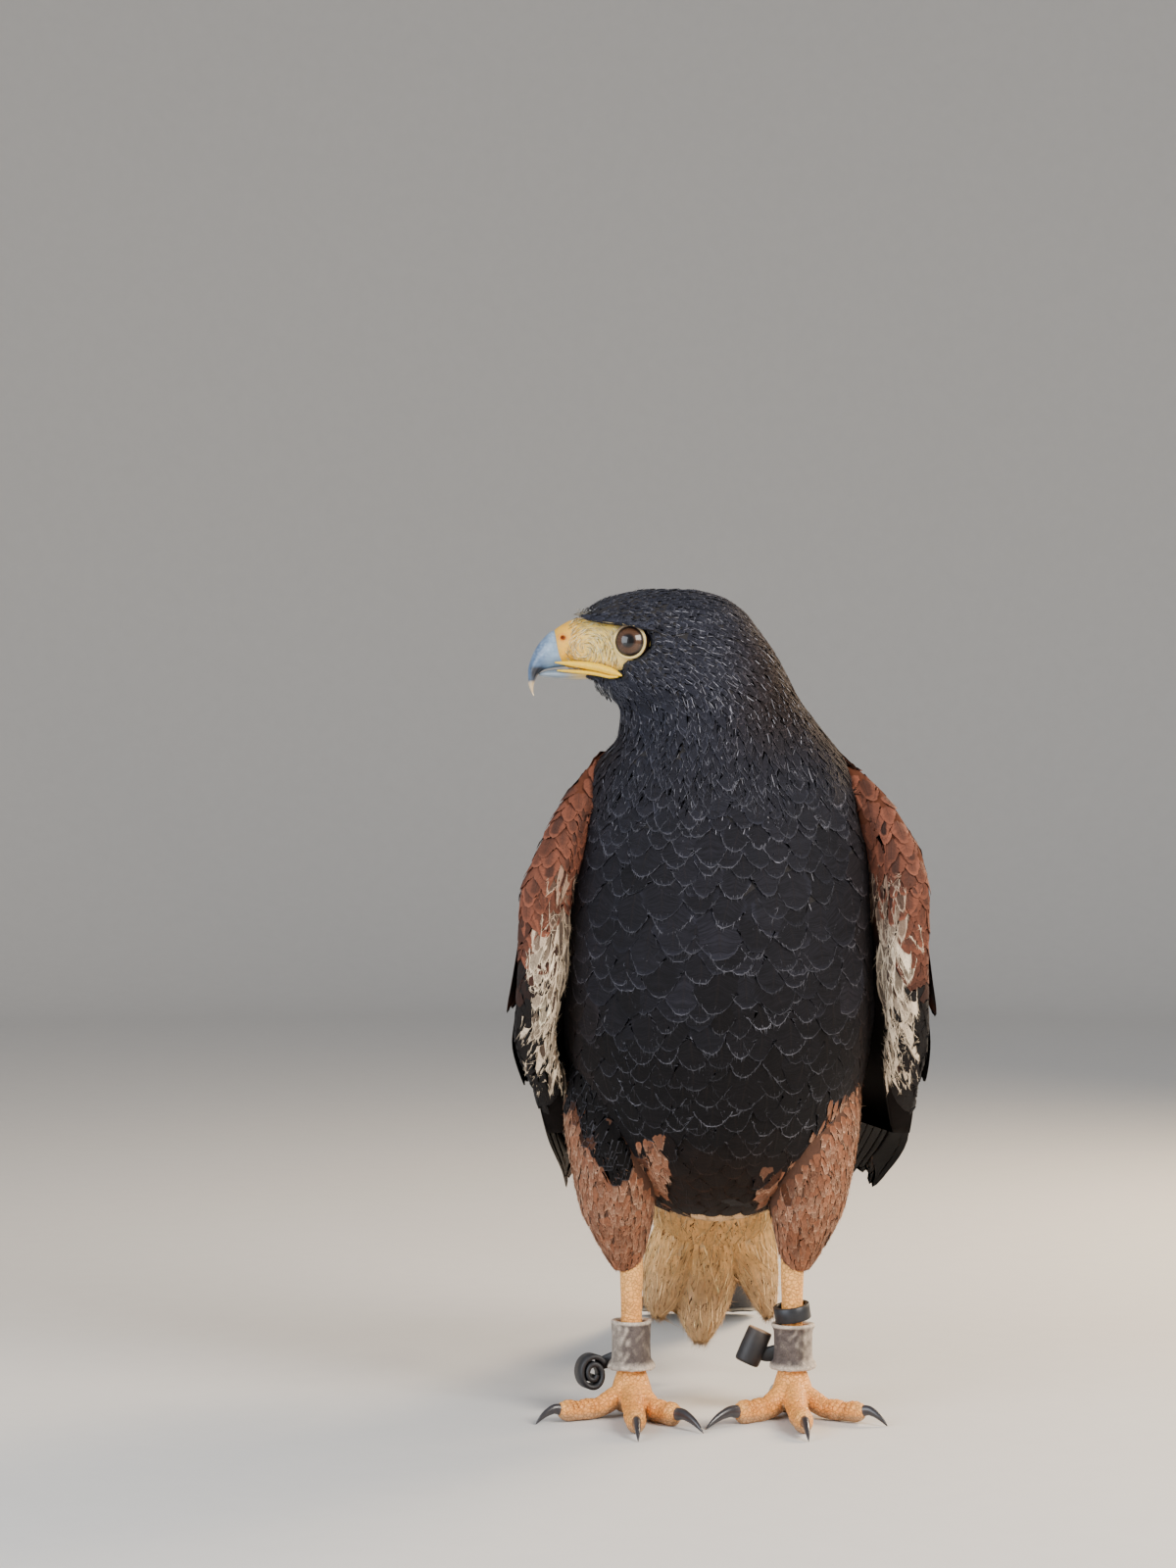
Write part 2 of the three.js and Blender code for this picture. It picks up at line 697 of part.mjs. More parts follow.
function thigh(sideName) {
  const surface = (turn, height) => thighPoint(sideName, turn * 2 * Math.PI, height * 100);
  const heights = [170, 156, 142, 128, 114, 102, 92, 84, 76, 68];
  const count = 18;
  const round = (z) =>
    Array.from({ length: count }, (_, k) => thighPoint(sideName, (k / count) * 2 * Math.PI, z));
  const core = loft(heights.map(round));
  const fringe = Array.from({ length: THIGH_FEATHERS }, (_, k) => {
    const share = (k + 0.3 * (k % 2)) / THIGH_FEATHERS;
    return vane(surface, {
      root: [share, 1.02 + 0.05 * (k % 2)],
      tip: [share, 0.68 - 0.03 * (k % 3)],
      width: 9.5,
      lift: [-3.4, 0.8],
      roll: FEATHER_ROLL,
      rows: 3,
    });
  });
  const inside = shank(sideName, GAP);
  return largest(union(core, ...fringe).subtract(union(inside, bodyGrown)));
}

function shank(sideName, grow = 0) {
  const x = LEG_X[sideName];
  const stops = [
    [SHANK_BOTTOM - grow, 6.4, 6],
    [26, 5.2, 5.4],
    [34, 4.8, 5.3],
    [52, SHANK_RADIUS, 5.4],
    [68, 5.2, 6],
    [SHANK_TOP + grow, 5, 6.2],
  ];
  return loft(stops.map(([z, rx, ry]) => levelRing(14, z, x, LEG_Y, rx + grow, ry + grow)));
}

// Toes: the heading from straight ahead towards the hawk's left in degrees, the length up to the
// claw, the claw's length, and the toe's half width at its base.
const toePlan = {
  left: [
    { name: "inner", heading: -50, length: 33, claw: 24, thick: 5.6 },
    { name: "middle", heading: 3, length: 45, claw: 20, thick: 5.4 },
    { name: "outer", heading: 56, length: 36, claw: 16, thick: 4.9 },
    { name: "hind", heading: 190, length: 25, claw: 27, thick: 5.6 },
  ],
  right: [
    { name: "inner", heading: 36, length: 33, claw: 24, thick: 5.6 },
    { name: "middle", heading: 2, length: 45, claw: 20, thick: 5.4 },
    { name: "outer", heading: -62, length: 36, claw: 16, thick: 4.9 },
    { name: "hind", heading: 170, length: 25, claw: 27, thick: 5.6 },
  ],
};
const HUB_HEIGHT = 12; // height of the middle of the foot
const TOE_HEIGHT = 4.7; // height of a toe's middle where it rests

const heading = (angle) => point(Math.sin(angle * degrees), -Math.cos(angle * degrees), 0);
const footAt = (sideName, out, angle, z) =>
  point(LEG_X[sideName], LEG_Y - 3, 0).addScaledVector(heading(angle), out).setZ(z);

function toe(sideName, plan) {
  const stops = [
    [0, HUB_HEIGHT, 0.95, 1.05],
    [0.2, 9.4, 1.02, 1.02],
    [0.38, 6.4, 0.98, 1],
    [0.52, TOE_HEIGHT, 0.84, 0.92],
    [0.66, TOE_HEIGHT, 0.96, 1.02],
    [0.8, TOE_HEIGHT - 0.2, 0.8, 0.9],
    [0.92, TOE_HEIGHT, 0.84, 0.98],
    [1.03, TOE_HEIGHT + 0.2, 0.62, 0.72],
  ];
  const whole = limb(
    stops.map(([t, z, wide, high]) => ({
      at: footAt(sideName, plan.length * t, plan.heading, z),
      wide: plan.thick * wide,
      high: plan.thick * high * 1.02,
    })),
    8,
  );
  return beyond(whole, sideName, plan, plan.length, -1);
}

// Keeps what lies past a distance along a toe's heading, or before it when the sense is -1.
function beyond(solid, sideName, plan, distance, sense) {
  const along = heading(plan.heading).multiplyScalar(sense);
  const place = footAt(sideName, distance, plan.heading, 0);
  return solid.trimByPlane(along.toArray(), along.dot(place));
}

function foot(sideName) {
  const x = LEG_X[sideName];
  const hub = loft(
    [
      [2, 5, 5],
      [5, 9, 9],
      [10, 10.5, 10],
      [15, 9, 8.6],
      [SHANK_BOTTOM - GAP, 6.6, 6.4],
    ].map(([z, rx, ry]) => levelRing(14, z, x, LEG_Y - mix(3, 0, z / SHANK_BOTTOM), rx, ry)),
  );
  const toes = toePlan[sideName].map((plan) => toe(sideName, plan));
  const above = block(point(-FAR, -FAR, GROUND), point(FAR, FAR, SHANK_BOTTOM - GAP));
  return largest(union(hub, ...toes).intersect(above));
}

function claw(sideName, plan) {
  const start = plan.length + GAP;
  const bend = [
    [-0.04, 0, 0.56],
    [0.16, 0.9, 0.5],
    [0.4, 1.1, 0.42],
    [0.64, -0.4, 0.33],
    [0.84, -2.6, 0.2],
    [0.96, -4.6, 0.07],
  ];
  const whole = limb(
    bend.map(([t, rise, size]) => ({
      at: footAt(sideName, start + plan.claw * 0.86 * t, plan.heading, TOE_HEIGHT + 0.2 + rise),
      wide: plan.thick * size * 0.8,
      high: plan.thick * size,
    })),
    6,
  );
  return beyond(whole, sideName, plan, start, 1);
}

// What the hawk wears: a leather cuff round each shank, the rolled end of a strap in each cuff, and a
// ring on the left leg.
const CUFF = {
  left: { bottom: 21.2, top: 41.6, waist: 8.6, rim: 10.6 },
  right: { bottom: 21.2, top: 43.5, waist: 8.8, rim: 10.9 },
};

function cuff(sideName) {
  const { bottom, top, waist, rim } = CUFF[sideName];
  const bore = 6.9;
  const low = 7.2;
  const profile = [
    [low, bottom],
    [rim, bottom + 0.6],
    [rim - 0.3, bottom + 2.4],
    [waist + 0.3, bottom + 5],
    [waist, (bottom + top) / 2],
    [waist + 0.2, top - 4],
    [waist + 1.1, top - 1],
    [waist + 0.6, top],
    [bore, top - 0.4],
    [bore - 1.2, top - 6],
    [bore - 1.2, bottom + 8],
    [low, bottom],
  ].map(([r, z]) => new THREE.Vector2(r, z));
  const turned = new THREE.LatheGeometry(profile, 16).rotateX(Math.PI / 2);
  turned.translate(LEG_X[sideName], LEG_Y, 0);
  return solidOf(turned);
}

// The rolled strap end beside a cuff, with its axis tilted.
const BUTTON = {
  left: { at: point(14.6, 8, 33), axis: point(0.45, 0.1, 1), radius: 5.6, length: 15 },
  right: { at: point(-58.8, 6, 23), axis: point(0.25, -1, 0.2), radius: 6.4, length: 12.5 },
};

function button(sideName) {
  const { at, axis, radius, length } = BUTTON[sideName];
  const up = axis.clone().normalize();
  const rings = [[-0.5, 0.86], [-0.42, 1], [0, 1.03], [0.42, 1], [0.5, 0.86]].map(([t, size]) => ({
    at: at.clone().addScaledVector(up, t * length),
    wide: radius * size,
    high: radius * size * 0.92,
  }));
  const roll = limb(rings, 12);
  const towards = point(LEG_X[sideName], LEG_Y, at.z).sub(at).normalize();
  const stub = limb(
    [3, 13].map((far) => ({ at: at.clone().addScaledVector(towards, far), wide: 1.1, high: 3.4 })),
    8,
  );
  const around = CUFF[sideName].rim + GAP;
  const leg = new THREE.CylinderGeometry(around, around, 2 * CUFF[sideName].top, 24).rotateX(Math.PI / 2);
  return largest(union(roll, stub).subtract(solidOf(leg.translate(LEG_X[sideName], LEG_Y, at.z))));
}

function ring() {
  const profile = [
    [6.8, -3.4],
    [8.3, -3.4],
    [8.3, 3.4],
    [6.8, 3.4],
    [6.8, -3.4],
  ].map(([r, z]) => new THREE.Vector2(r, z));
  const band = new THREE.LatheGeometry(profile, 18).rotateX(Math.PI / 2);
  band.rotateY(-9 * degrees).rotateX(5 * degrees);
  return solidOf(band.translate(LEG_X.left, LEG_Y, CUFF.left.top + 5.4));
}

// The body is parted into head, neck and torso by two thin slanting cuts.
function partBody() {
  const eyes = [1, -1].map((side) => ball(eyeAt(side), EYE_RADIUS + GAP));
  const whole = union(bodySolid(), eyeRim(1), eyeRim(-1), brow(1), brow(-1)).subtract(union(...eyes));
  const layer = (low, high, tilt) => {
    const slab = new THREE.BoxGeometry(FAR, FAR, high - low).translate(0, 0, (low + high) / 2);
    return solidOf(slab.rotateY(tilt * degrees));
  };
  const above = layer(HEAD_CUT, HEAD_CUT + FAR, HEAD_TILT);
  const underHead = layer(HEAD_CUT - FAR, HEAD_CUT - GAP, HEAD_TILT);
  const aboveNeck = layer(NECK_CUT, NECK_CUT + FAR, 0);
  const underNeck = layer(NECK_CUT - FAR, NECK_CUT - GAP, 0);
  return {
    head: largest(whole.intersect(above).subtract(lowerBillRoom())),
    neck: largest(whole.intersect(underHead).intersect(aboveNeck)),
    torso: largest(whole.intersect(underNeck)),
  };
}

// Room in the head for the root of the lower bill.
function lowerBillRoom() {
  return loft([
    billRing([-45, 340.4], [-45, 333.2], 9.8),
    billRing([-56, 341], [-57, 335.2], 9.4),
    billRing([-68, 342], [-68, 336], 8.4),
  ]);
}

// A mesh of a solid, under its name.
function nodeOf(name, solid, look) {
  const made = solid.getMesh();
  const three = (values, i) => [...values.slice(3 * i, 3 * i + 3)];
  const threes = (values) => Array.from({ length: values.length / 3 }, (_, i) => three(values, i));
  const points = threes(made.vertProperties).map((p) => point(...p));
  const longEnough = withoutShortEdges(points, threes(made.triVerts), SHORT_EDGE, false);
  const triangles = withoutShortEdges(points, longEnough, LEAST_EDGE, true);
  const geometry = new THREE.BufferGeometry();
  geometry.setAttribute("position", new THREE.Float32BufferAttribute(points.flatMap((p) => p.toArray()), 3));
  geometry.setIndex(triangles.flat());
  const mesh = new THREE.Mesh(geometry, look);
  mesh.name = name;
  return mesh;
}

function build() {
  const model = new THREE.Group();
  const add = (...node) => model.add(nodeOf(...node));
  const body = partBody();
  add("head", body.head, darkFeather);
  add("neck", body.neck, darkFeather);
  add("torso", body.torso, darkFeather);
  add("cere", cere(), yellowSkin);
  add("bill_upper", upperBill(), horn);
  add("bill_lower", largest(lowerBill().subtract(bodyGrown)), horn);
  const tailSolid = tail();
  add("tail", tailSolid, tailFeather);
  add("undertail", undertail(tailSolid), paleFeather);
  for (const sideName of Object.keys(SIDES)) {
    add("eye_" + sideName, ball(eyeAt(SIDES[sideName]), EYE_RADIUS), eyeBrown);
    add("wing_" + sideName, wing(sideName), wingFeather);
    add("thigh_" + sideName, thigh(sideName), thighFeather);
    add("shank_" + sideName, shank(sideName), legSkin);
    add("foot_" + sideName, foot(sideName), legSkin);
    add("cuff_" + sideName, cuff(sideName), strapLeather);
    add("strap_end_" + sideName, button(sideName), blackLeather);
    toePlan[sideName].forEach((plan) => {
      add("claw_" + plan.name + "_" + sideName, claw(sideName, plan), clawHorn);
    });
  }
  add("leg_ring", ring(), ringMetal);

  // The origin goes to the middle of the base.
  const bounds = new THREE.Box3().setFromObject(model);
  const middle = bounds.getCenter(new THREE.Vector3());
  model.position.set(-middle.x, -middle.y, -bounds.min.z);
  return model;
}

export default build();
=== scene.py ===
import math

import bmesh
import bpy
import numpy as np
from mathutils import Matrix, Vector
from mathutils.bvhtree import BVHTree


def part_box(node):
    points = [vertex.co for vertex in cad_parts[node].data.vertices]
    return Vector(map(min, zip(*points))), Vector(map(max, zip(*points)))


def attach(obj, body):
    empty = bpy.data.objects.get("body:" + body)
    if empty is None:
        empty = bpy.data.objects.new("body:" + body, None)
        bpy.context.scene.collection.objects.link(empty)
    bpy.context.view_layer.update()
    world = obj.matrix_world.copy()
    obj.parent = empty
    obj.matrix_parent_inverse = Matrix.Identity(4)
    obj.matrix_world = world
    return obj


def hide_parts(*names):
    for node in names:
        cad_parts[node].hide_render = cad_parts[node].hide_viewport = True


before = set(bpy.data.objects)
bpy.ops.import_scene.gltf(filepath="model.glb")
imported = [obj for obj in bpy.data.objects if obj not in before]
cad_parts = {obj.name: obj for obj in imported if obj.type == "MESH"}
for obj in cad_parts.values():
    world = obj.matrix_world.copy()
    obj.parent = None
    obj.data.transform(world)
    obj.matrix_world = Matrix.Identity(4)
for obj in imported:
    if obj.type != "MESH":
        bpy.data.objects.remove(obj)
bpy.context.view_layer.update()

# The hawk's own frame is in millimetres, with its legs near the origin and its chest to -Y.
eyeLeftCentre = np.array([-40.2, -24.6, 354.2])
lowCorner, highCorner = (np.array(corner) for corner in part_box("eye_left"))
hawkShift = (lowCorner + highCorner) * 500 - eyeLeftCentre
groundHeight = -hawkShift[2]
headMiddle = -9.0
legX = {"left": 34.0, "right": -40.0}
legY = 4.0
sideSign = {"left": 1, "right": -1}


# Curves and small sums

def toScene(points):
    return (np.asarray(points, float) + hawkShift) / 1000


def curve(*pairs):
    keys, values = np.array(pairs, float).T
    chords = np.diff(values) / np.diff(keys)
    slopes = np.empty(len(keys))
    slopes[0], slopes[-1] = chords[0], chords[-1]
    before, after = chords[:-1], chords[1:]
    total = np.where(before + after == 0, 1, before + after)
    slopes[1:-1] = np.where(before * after <= 0, 0, 2 * before * after / total)

    def at(x):
        x = np.clip(np.asarray(x, float), keys[0], keys[-1])
        i = np.clip(np.searchsorted(keys, x, side="right") - 1, 0, len(keys) - 2)
        wide = keys[i + 1] - keys[i]
        t = (x - keys[i]) / wide
        a = 2 * t**3 - 3 * t**2 + 1
        b = (t**3 - 2 * t**2 + t) * wide
        c = 3 * t**2 - 2 * t**3
        d = (t**3 - t**2) * wide
        return a * values[i] + b * slopes[i] + c * values[i + 1] + d * slopes[i + 1]

    return at


def smooth(low, high, x):
    t = np.clip((np.asarray(x, float) - low) / (high - low), 0, 1)
    return t * t * (3 - 2 * t)


def unit(vectors):
    size = np.linalg.norm(vectors, axis=-1, keepdims=True)
    return vectors / np.where(size < 1e-9, 1, size)


def stack(*parts):
    return np.stack(np.broadcast_arrays(*parts), axis=-1).astype(float)


def around(count):
    return np.arange(count) / count * 2 * np.pi


def blend(a, b, share):
    return np.asarray(a, float) * (1 - share[..., None]) + np.asarray(b, float) * share[..., None]


def opaque(paint):
    return np.concatenate([paint, np.ones((len(paint), 1))], 1)


# One colour a feather, each a little lighter or darker, with a strength beside it.
def tint(colour, count, spread, rng, strength):
    base = np.tile(np.asarray(colour, float), (count, 1)) * (1 + rng.normal(0, spread, (count, 1)))
    return np.column_stack([np.clip(base, 0.002, 1), np.broadcast_to(np.asarray(strength, float), (count,))])


# Turns the tints towards a colour and keeps their strength.
def shift(tints, colour, share):
    tints[:, :3] = blend(tints[:, :3], colour, share)


def shades(base, core, fringe):
    return {"baseColour": base, "coreColour": core, "fringeColour": fringe}


# Meshes

def newObject(name, mesh):
    thing = bpy.data.objects.new(name, mesh)
    bpy.context.scene.collection.objects.link(thing)
    return thing


def meshOf(name, points, quads, uvMaps=None, colours=None, floats=None, normals=None):
    quads = np.asarray(quads, np.int32)
    mesh = bpy.data.meshes.new(name)
    mesh.vertices.add(len(points))
    mesh.vertices.foreach_set("co", toScene(points).astype(np.float32).ravel())
    corners = quads.shape[1]
    mesh.loops.add(quads.size)
    mesh.loops.foreach_set("vertex_index", quads.ravel())
    mesh.polygons.add(len(quads))
    mesh.polygons.foreach_set("loop_start", np.arange(0, quads.size, corners, dtype=np.int32))
    mesh.update(calc_edges=True)
    mesh.polygons.foreach_set("use_smooth", np.ones(len(quads), bool))
    for key, coords in (uvMaps or {}).items():
        layer = mesh.uv_layers.new(name=key)
        layer.uv.foreach_set("vector", np.asarray(coords, np.float32)[quads.ravel()].ravel())
    for key, values in (colours or {}).items():
        layer = mesh.attributes.new(key, "FLOAT_COLOR", "POINT")
        layer.data.foreach_set("color", np.asarray(values, np.float32).ravel())
    for key, values in (floats or {}).items():
        layer = mesh.attributes.new(key, "FLOAT", "POINT")
        layer.data.foreach_set("value", np.asarray(values, np.float32).ravel())
    if normals is not None:
        layer = mesh.attributes.new("custom_normal", "FLOAT_VECTOR", "POINT")
        layer.data.foreach_set("vector", np.asarray(normals, np.float32).ravel())
    return newObject(name, mesh)


def gridQuads(rows, columns):
    i, j = np.meshgrid(np.arange(rows - 1), np.arange(columns - 1), indexing="ij")
    corner = i * columns + j
    return np.stack([corner, corner + 1, corner + columns + 1, corner + columns], -1).reshape(-1, 4)


# A closed tube through rings of points, with its ends drawn in to a point. Its seam is welded later, so
# that a map may open there.
def tubeMesh(rings):
    rings = np.asarray(rings, float)
    rings = np.concatenate([rings, rings[:, :1]], 1)
    rows, columns = rings.shape[:2]
    ends = [np.repeat(ring[:-1].mean(0)[None, None], columns, 1) for ring in (rings[0], rings[-1])]
    points = np.concatenate([ends[0], rings, ends[1]])
    v, u = np.meshgrid(np.linspace(0, 1, rows + 2), np.linspace(0, 1, columns), indexing="ij")
    return points.reshape(-1, 3), gridQuads(rows + 2, columns), u.ravel(), v.ravel()


def weld(thing, distance=1e-6):
    work = bmesh.new()
    work.from_mesh(thing.data)
    bmesh.ops.remove_doubles(work, verts=work.verts, dist=distance)
    bmesh.ops.dissolve_degenerate(work, edges=work.edges, dist=distance)
    bmesh.ops.recalc_face_normals(work, faces=work.faces)
    if work.calc_volume(signed=True) < 0:
        bmesh.ops.reverse_faces(work, faces=work.faces)
    work.to_mesh(thing.data)
    work.free()
    return thing


# Rings along a path of stops: a place, then the half widths across and up. across is the way that across lies.
def pathRings(stops, count, across=None):
    at, wide, high = (np.array([stop[k] for stop in stops], float) for k in range(3))
    along = unit(np.gradient(at, axis=0))
    side = stack(along[:, 1], -along[:, 0], 0) if across is None else np.tile(np.asarray(across, float), (len(at), 1))
    side = unit(side - along * (side * along).sum(-1, keepdims=True))
    up = np.cross(side, along)
    turn = around(count)
    sideways = side[:, None] * (wide[:, None] * np.cos(turn))[..., None]
    return at[:, None] + sideways + up[:, None] * (high[:, None] * np.sin(turn))[..., None]


# The same stops, finely spaced along smooth curves.
def fineStops(stops, count):
    keys = np.linspace(0, 1, len(stops))
    columns = np.array([[*stop[0], stop[1], stop[2]] for stop in stops], float)
    curves = [curve(*zip(keys, columns[:, k])) for k in range(5)]
    t = np.linspace(0, 1, count)
    made = np.stack([c(t) for c in curves], -1)
    return [(row[:3], row[3], row[4]) for row in made]


# A closed round piece through rings. swell pushes its points out, and colour paints them.
def roundPiece(name, rings, colour, swell=None):
    rings = np.asarray(rings, float)
    v, u = np.meshgrid(np.linspace(0, 1, len(rings)), np.arange(rings.shape[1]) / rings.shape[1], indexing="ij")
    if swell is not None:
        rings = rings + unit(rings - rings.mean(1, keepdims=True)) * swell(u, v)[..., None]
    paint = colour(rings, u, v) if callable(colour) else np.broadcast_to(np.asarray(colour, float), rings.shape)
    paint = np.concatenate([paint[:1], paint, paint[-1:]])
    paint = np.concatenate([paint, paint[:, :1]], 1).reshape(-1, 3)
    points, quads, _, _ = tubeMesh(rings)
    return weld(meshOf(name, points, quads, None, {"baseColour": opaque(paint)}))


# A closed skin through rings. spot gives the place of each point on the bake.
def skinOf(name, rings, spot):
    points, quads, u, v = tubeMesh(rings)
    return weld(meshOf(name, points, quads, {"OFBake": spot(u, v)}))


def joined(name, things):
    bpy.ops.object.select_all(action="DESELECT")
    for thing in things:
        thing.select_set(True)
    bpy.context.view_layer.objects.active = things[0]
    bpy.ops.object.join()
    bpy.ops.object.select_all(action="DESELECT")
    things[0].name = name
    things[0].data.name = name
    return things[0]


def finishPiece(thing, material, slotName, nodes=()):
    thing.data.materials.clear()
    thing.data.materials.append(material)
    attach(thing, "root")
    if nodes:
        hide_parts(*nodes)
    return thing


# Materials

def newMaterial(name):
    material = bpy.data.materials.new(name)
    material.use_nodes = True
    return material, Nodes(material.node_tree), material.node_tree.nodes["Principled BSDF"]


class Nodes:
    def __init__(self, tree):
        self.tree = tree

    def add(self, kind, inputs=None, **settings):
        node = self.tree.nodes.new(kind)
        for key, value in settings.items():
            setattr(node, key, value)
        for key, value in (inputs or {}).items():
            self.put(node.inputs[key], value)
        return node

    def put(self, socket, value):
        if isinstance(value, bpy.types.NodeSocket):
            self.tree.links.new(value, socket)
        else:
            socket.default_value = value

    def math(self, operation, a, b=0.0, c=0.0, clamp=False):
        return self.add("ShaderNodeMath", {0: a, 1: b, 2: c}, operation=operation, use_clamp=clamp).outputs[0]

    def times(self, a, b):
        return self.math("MULTIPLY", a, b)

    def timesPlus(self, a, b, c):
        return self.math("MULTIPLY_ADD", a, b, c)

    def mix(self, factor, a, b, way="MIX"):
        node = self.add("ShaderNodeMix", data_type="RGBA", blend_type=way)
        for name, value in (("Factor", factor), ("A", a), ("B", b)):
            socket = [s for s in node.inputs if s.name == name and s.enabled][0]
            self.put(socket, (*value, 1) if isinstance(value, tuple) and len(value) == 3 else value)
        return [s for s in node.outputs if s.enabled][0]

    def shaded(self, colour, shade):
        grey = self.add("ShaderNodeCombineColor", {0: shade, 1: shade, 2: shade}).outputs[0]
        return self.mix(1.0, colour, grey, "MULTIPLY")

    def range(self, value, low, high, toLow=0.0, toHigh=1.0):
        inputs = {0: value, 1: low, 2: high, 3: toLow, 4: toHigh}
        return self.add("ShaderNodeMapRange", inputs, interpolation_type="SMOOTHSTEP").outputs[0]

    def noise(self, vector, scale, detail=3.0, roughness=0.55):
        inputs = {"Vector": vector, "Scale": scale, "Detail": detail, "Roughness": roughness}
        return self.add("ShaderNodeTexNoise", inputs).outputs[0]

    def bump(self, height, strength, distance):
        return self.add("ShaderNodeBump", {"Height": height, "Strength": strength, "Distance": distance}).outputs[0]

    def attribute(self, name):
        return self.add("ShaderNodeAttribute", attribute_name=name).outputs

    def objectPlace(self):
        return self.add("ShaderNodeTexCoord").outputs["Object"]


# What a material has where its own look doesn't say otherwise.
usualFeather = {
    "barbSlant": 0.35, "barbDark": 0.72, "barbLight": 1.25, "blotchScale": 90.0, "coreNarrow": 1.3, "coreFrom": 0.25,
    "coreTo": 0.5, "coreEnd": 0.92, "fringeBreak": 1.6, "shaftWide": 0.06, "shaftShow": 0.5,
    "shaftColour": (0.02, 0.014, 0.012), "bump": 0.5, "roughness": 0.62, "gloss": 0.35, "sheen": 0.25,
    "sheenTint": (0.7, 0.75, 0.85),
}
usualPlain = {
    "stretch": (1.0, 1.0, 1.0), "dark": 0.75, "light": 1.25, "cells": 0.0, "groove": 0.12, "grooveShade": 0.35,
    "bump": 0.3, "depth": 0.0003, "roughness": 0.5, "metal": 0.0, "gloss": 0.45, "coat": 0.0, "coatRoughness": 0.2,
    "soft": 0.0,
}


# A feather's colours come with it. Its barbs, shaft and fringe are drawn along the vane.
def featherMaterial(name, ownLook):
    look = usualFeather | ownLook
    material, nodes, shader = newMaterial(name)
    vane = nodes.add("ShaderNodeUVMap", uv_map="vane").outputs[0]
    across, along, _ = nodes.add("ShaderNodeSeparateXYZ", {0: vane}).outputs
    out = nodes.math("ABSOLUTE", nodes.timesPlus(across, 2.0, -1.0))
    base, core, fringe = (nodes.attribute(key) for key in ("baseColour", "coreColour", "fringeColour"))

    barbLine = nodes.timesPlus(out, -look["barbSlant"], along)
    barbPlace = nodes.add("ShaderNodeCombineXYZ", {
        0: nodes.times(out, 2.0), 1: nodes.times(barbLine, look["barbs"]), 2: nodes.times(base["Alpha"], 37.0),
    }).outputs[0]
    barb = nodes.noise(barbPlace, 1.0, 2.0, 0.6)
    blotch = nodes.noise(nodes.objectPlace(), look["blotchScale"], 3.0)

    centre = nodes.math("SUBTRACT", 1.0, nodes.times(out, look["coreNarrow"]), clamp=True)
    reach = nodes.math("ADD", centre, nodes.timesPlus(blotch, 0.5, -0.25))
    coreMask = nodes.range(reach, look["coreFrom"], look["coreTo"])
    coreMask = nodes.times(coreMask, nodes.range(along, look["coreEnd"], look["coreEnd"] - 0.12))
    colour = nodes.mix(nodes.times(coreMask, core["Alpha"]), base["Color"], core["Color"])

    broken = nodes.math("MULTIPLY_ADD", barb, look["fringeBreak"], -0.3 * look["fringeBreak"], clamp=True)
    fringeMask = nodes.times(nodes.range(nodes.attribute("rim")["Fac"], look["fringeWidth"], 0.0), broken)
    colour = nodes.mix(nodes.times(fringeMask, fringe["Alpha"]), colour, fringe["Color"])
    colour = nodes.shaded(colour, nodes.range(barb, 0.25, 0.75, look["barbDark"], look["barbLight"]))

    shaft = nodes.times(nodes.range(out, look["shaftWide"], 0.0), nodes.range(along, 0.95, 0.6))
    colour = nodes.mix(nodes.times(shaft, look["shaftShow"]), colour, look["shaftColour"])
    height = nodes.timesPlus(barb, 0.7, nodes.times(shaft, 0.8))
    nodes.put(shader.inputs["Base Color"], colour)
    nodes.put(shader.inputs["Normal"], nodes.bump(height, look["bump"], 0.0004))
    for socket, value in (
        ("Roughness", look["roughness"]), ("Specular IOR Level", look["gloss"]), ("Sheen Weight", look["sheen"]),
        ("Sheen Roughness", 0.45), ("Sheen Tint", (*look["sheenTint"], 1)),
    ):
        shader.inputs[socket].default_value = value
    return material


# Bare skin, horn and leather: the piece's own painted colour, varied and roughened.
def plainMaterial(name, ownLook):
    look = usualPlain | ownLook
    material, nodes, shader = newMaterial(name)
    place = nodes.objectPlace()
    stretched = nodes.add("ShaderNodeVectorMath", {0: place, 1: look["stretch"]}, operation="MULTIPLY").outputs[0]
    grain = nodes.noise(stretched, look["grain"], 5.0, 0.6)
    wide = nodes.noise(stretched, look["grain"] * 0.17, 3.0)
    shade = nodes.range(nodes.timesPlus(wide, 0.5, nodes.times(grain, 0.5)), 0.3, 0.7, look["dark"], look["light"])
    height = grain
    if look["cells"]:
        inputs = {"Vector": place, "Scale": look["cells"]}
        cells = nodes.add("ShaderNodeTexVoronoi", inputs, feature="DISTANCE_TO_EDGE").outputs[0]
        groove = nodes.range(cells, 0.0, look["groove"])
        shade = nodes.times(shade, nodes.timesPlus(groove, look["grooveShade"], 1 - look["grooveShade"]))
        height = nodes.timesPlus(groove, 1.2, nodes.times(grain, 0.4))
    nodes.put(shader.inputs["Base Color"], nodes.shaded(nodes.attribute("baseColour")["Color"], shade))
    nodes.put(shader.inputs["Normal"], nodes.bump(height, look["bump"], look["depth"]))
    for socket, value in (
        ("Roughness", look["roughness"]), ("Metallic", look["metal"]), ("Specular IOR Level", look["gloss"]),
        ("Coat Weight", look["coat"]), ("Coat Roughness", look["coatRoughness"]), ("Subsurface Weight", look["soft"]),
        ("Subsurface Radius", (1.0, 0.4, 0.2)), ("Subsurface Scale", 0.002),
    ):
        shader.inputs[socket].default_value = value
    return material


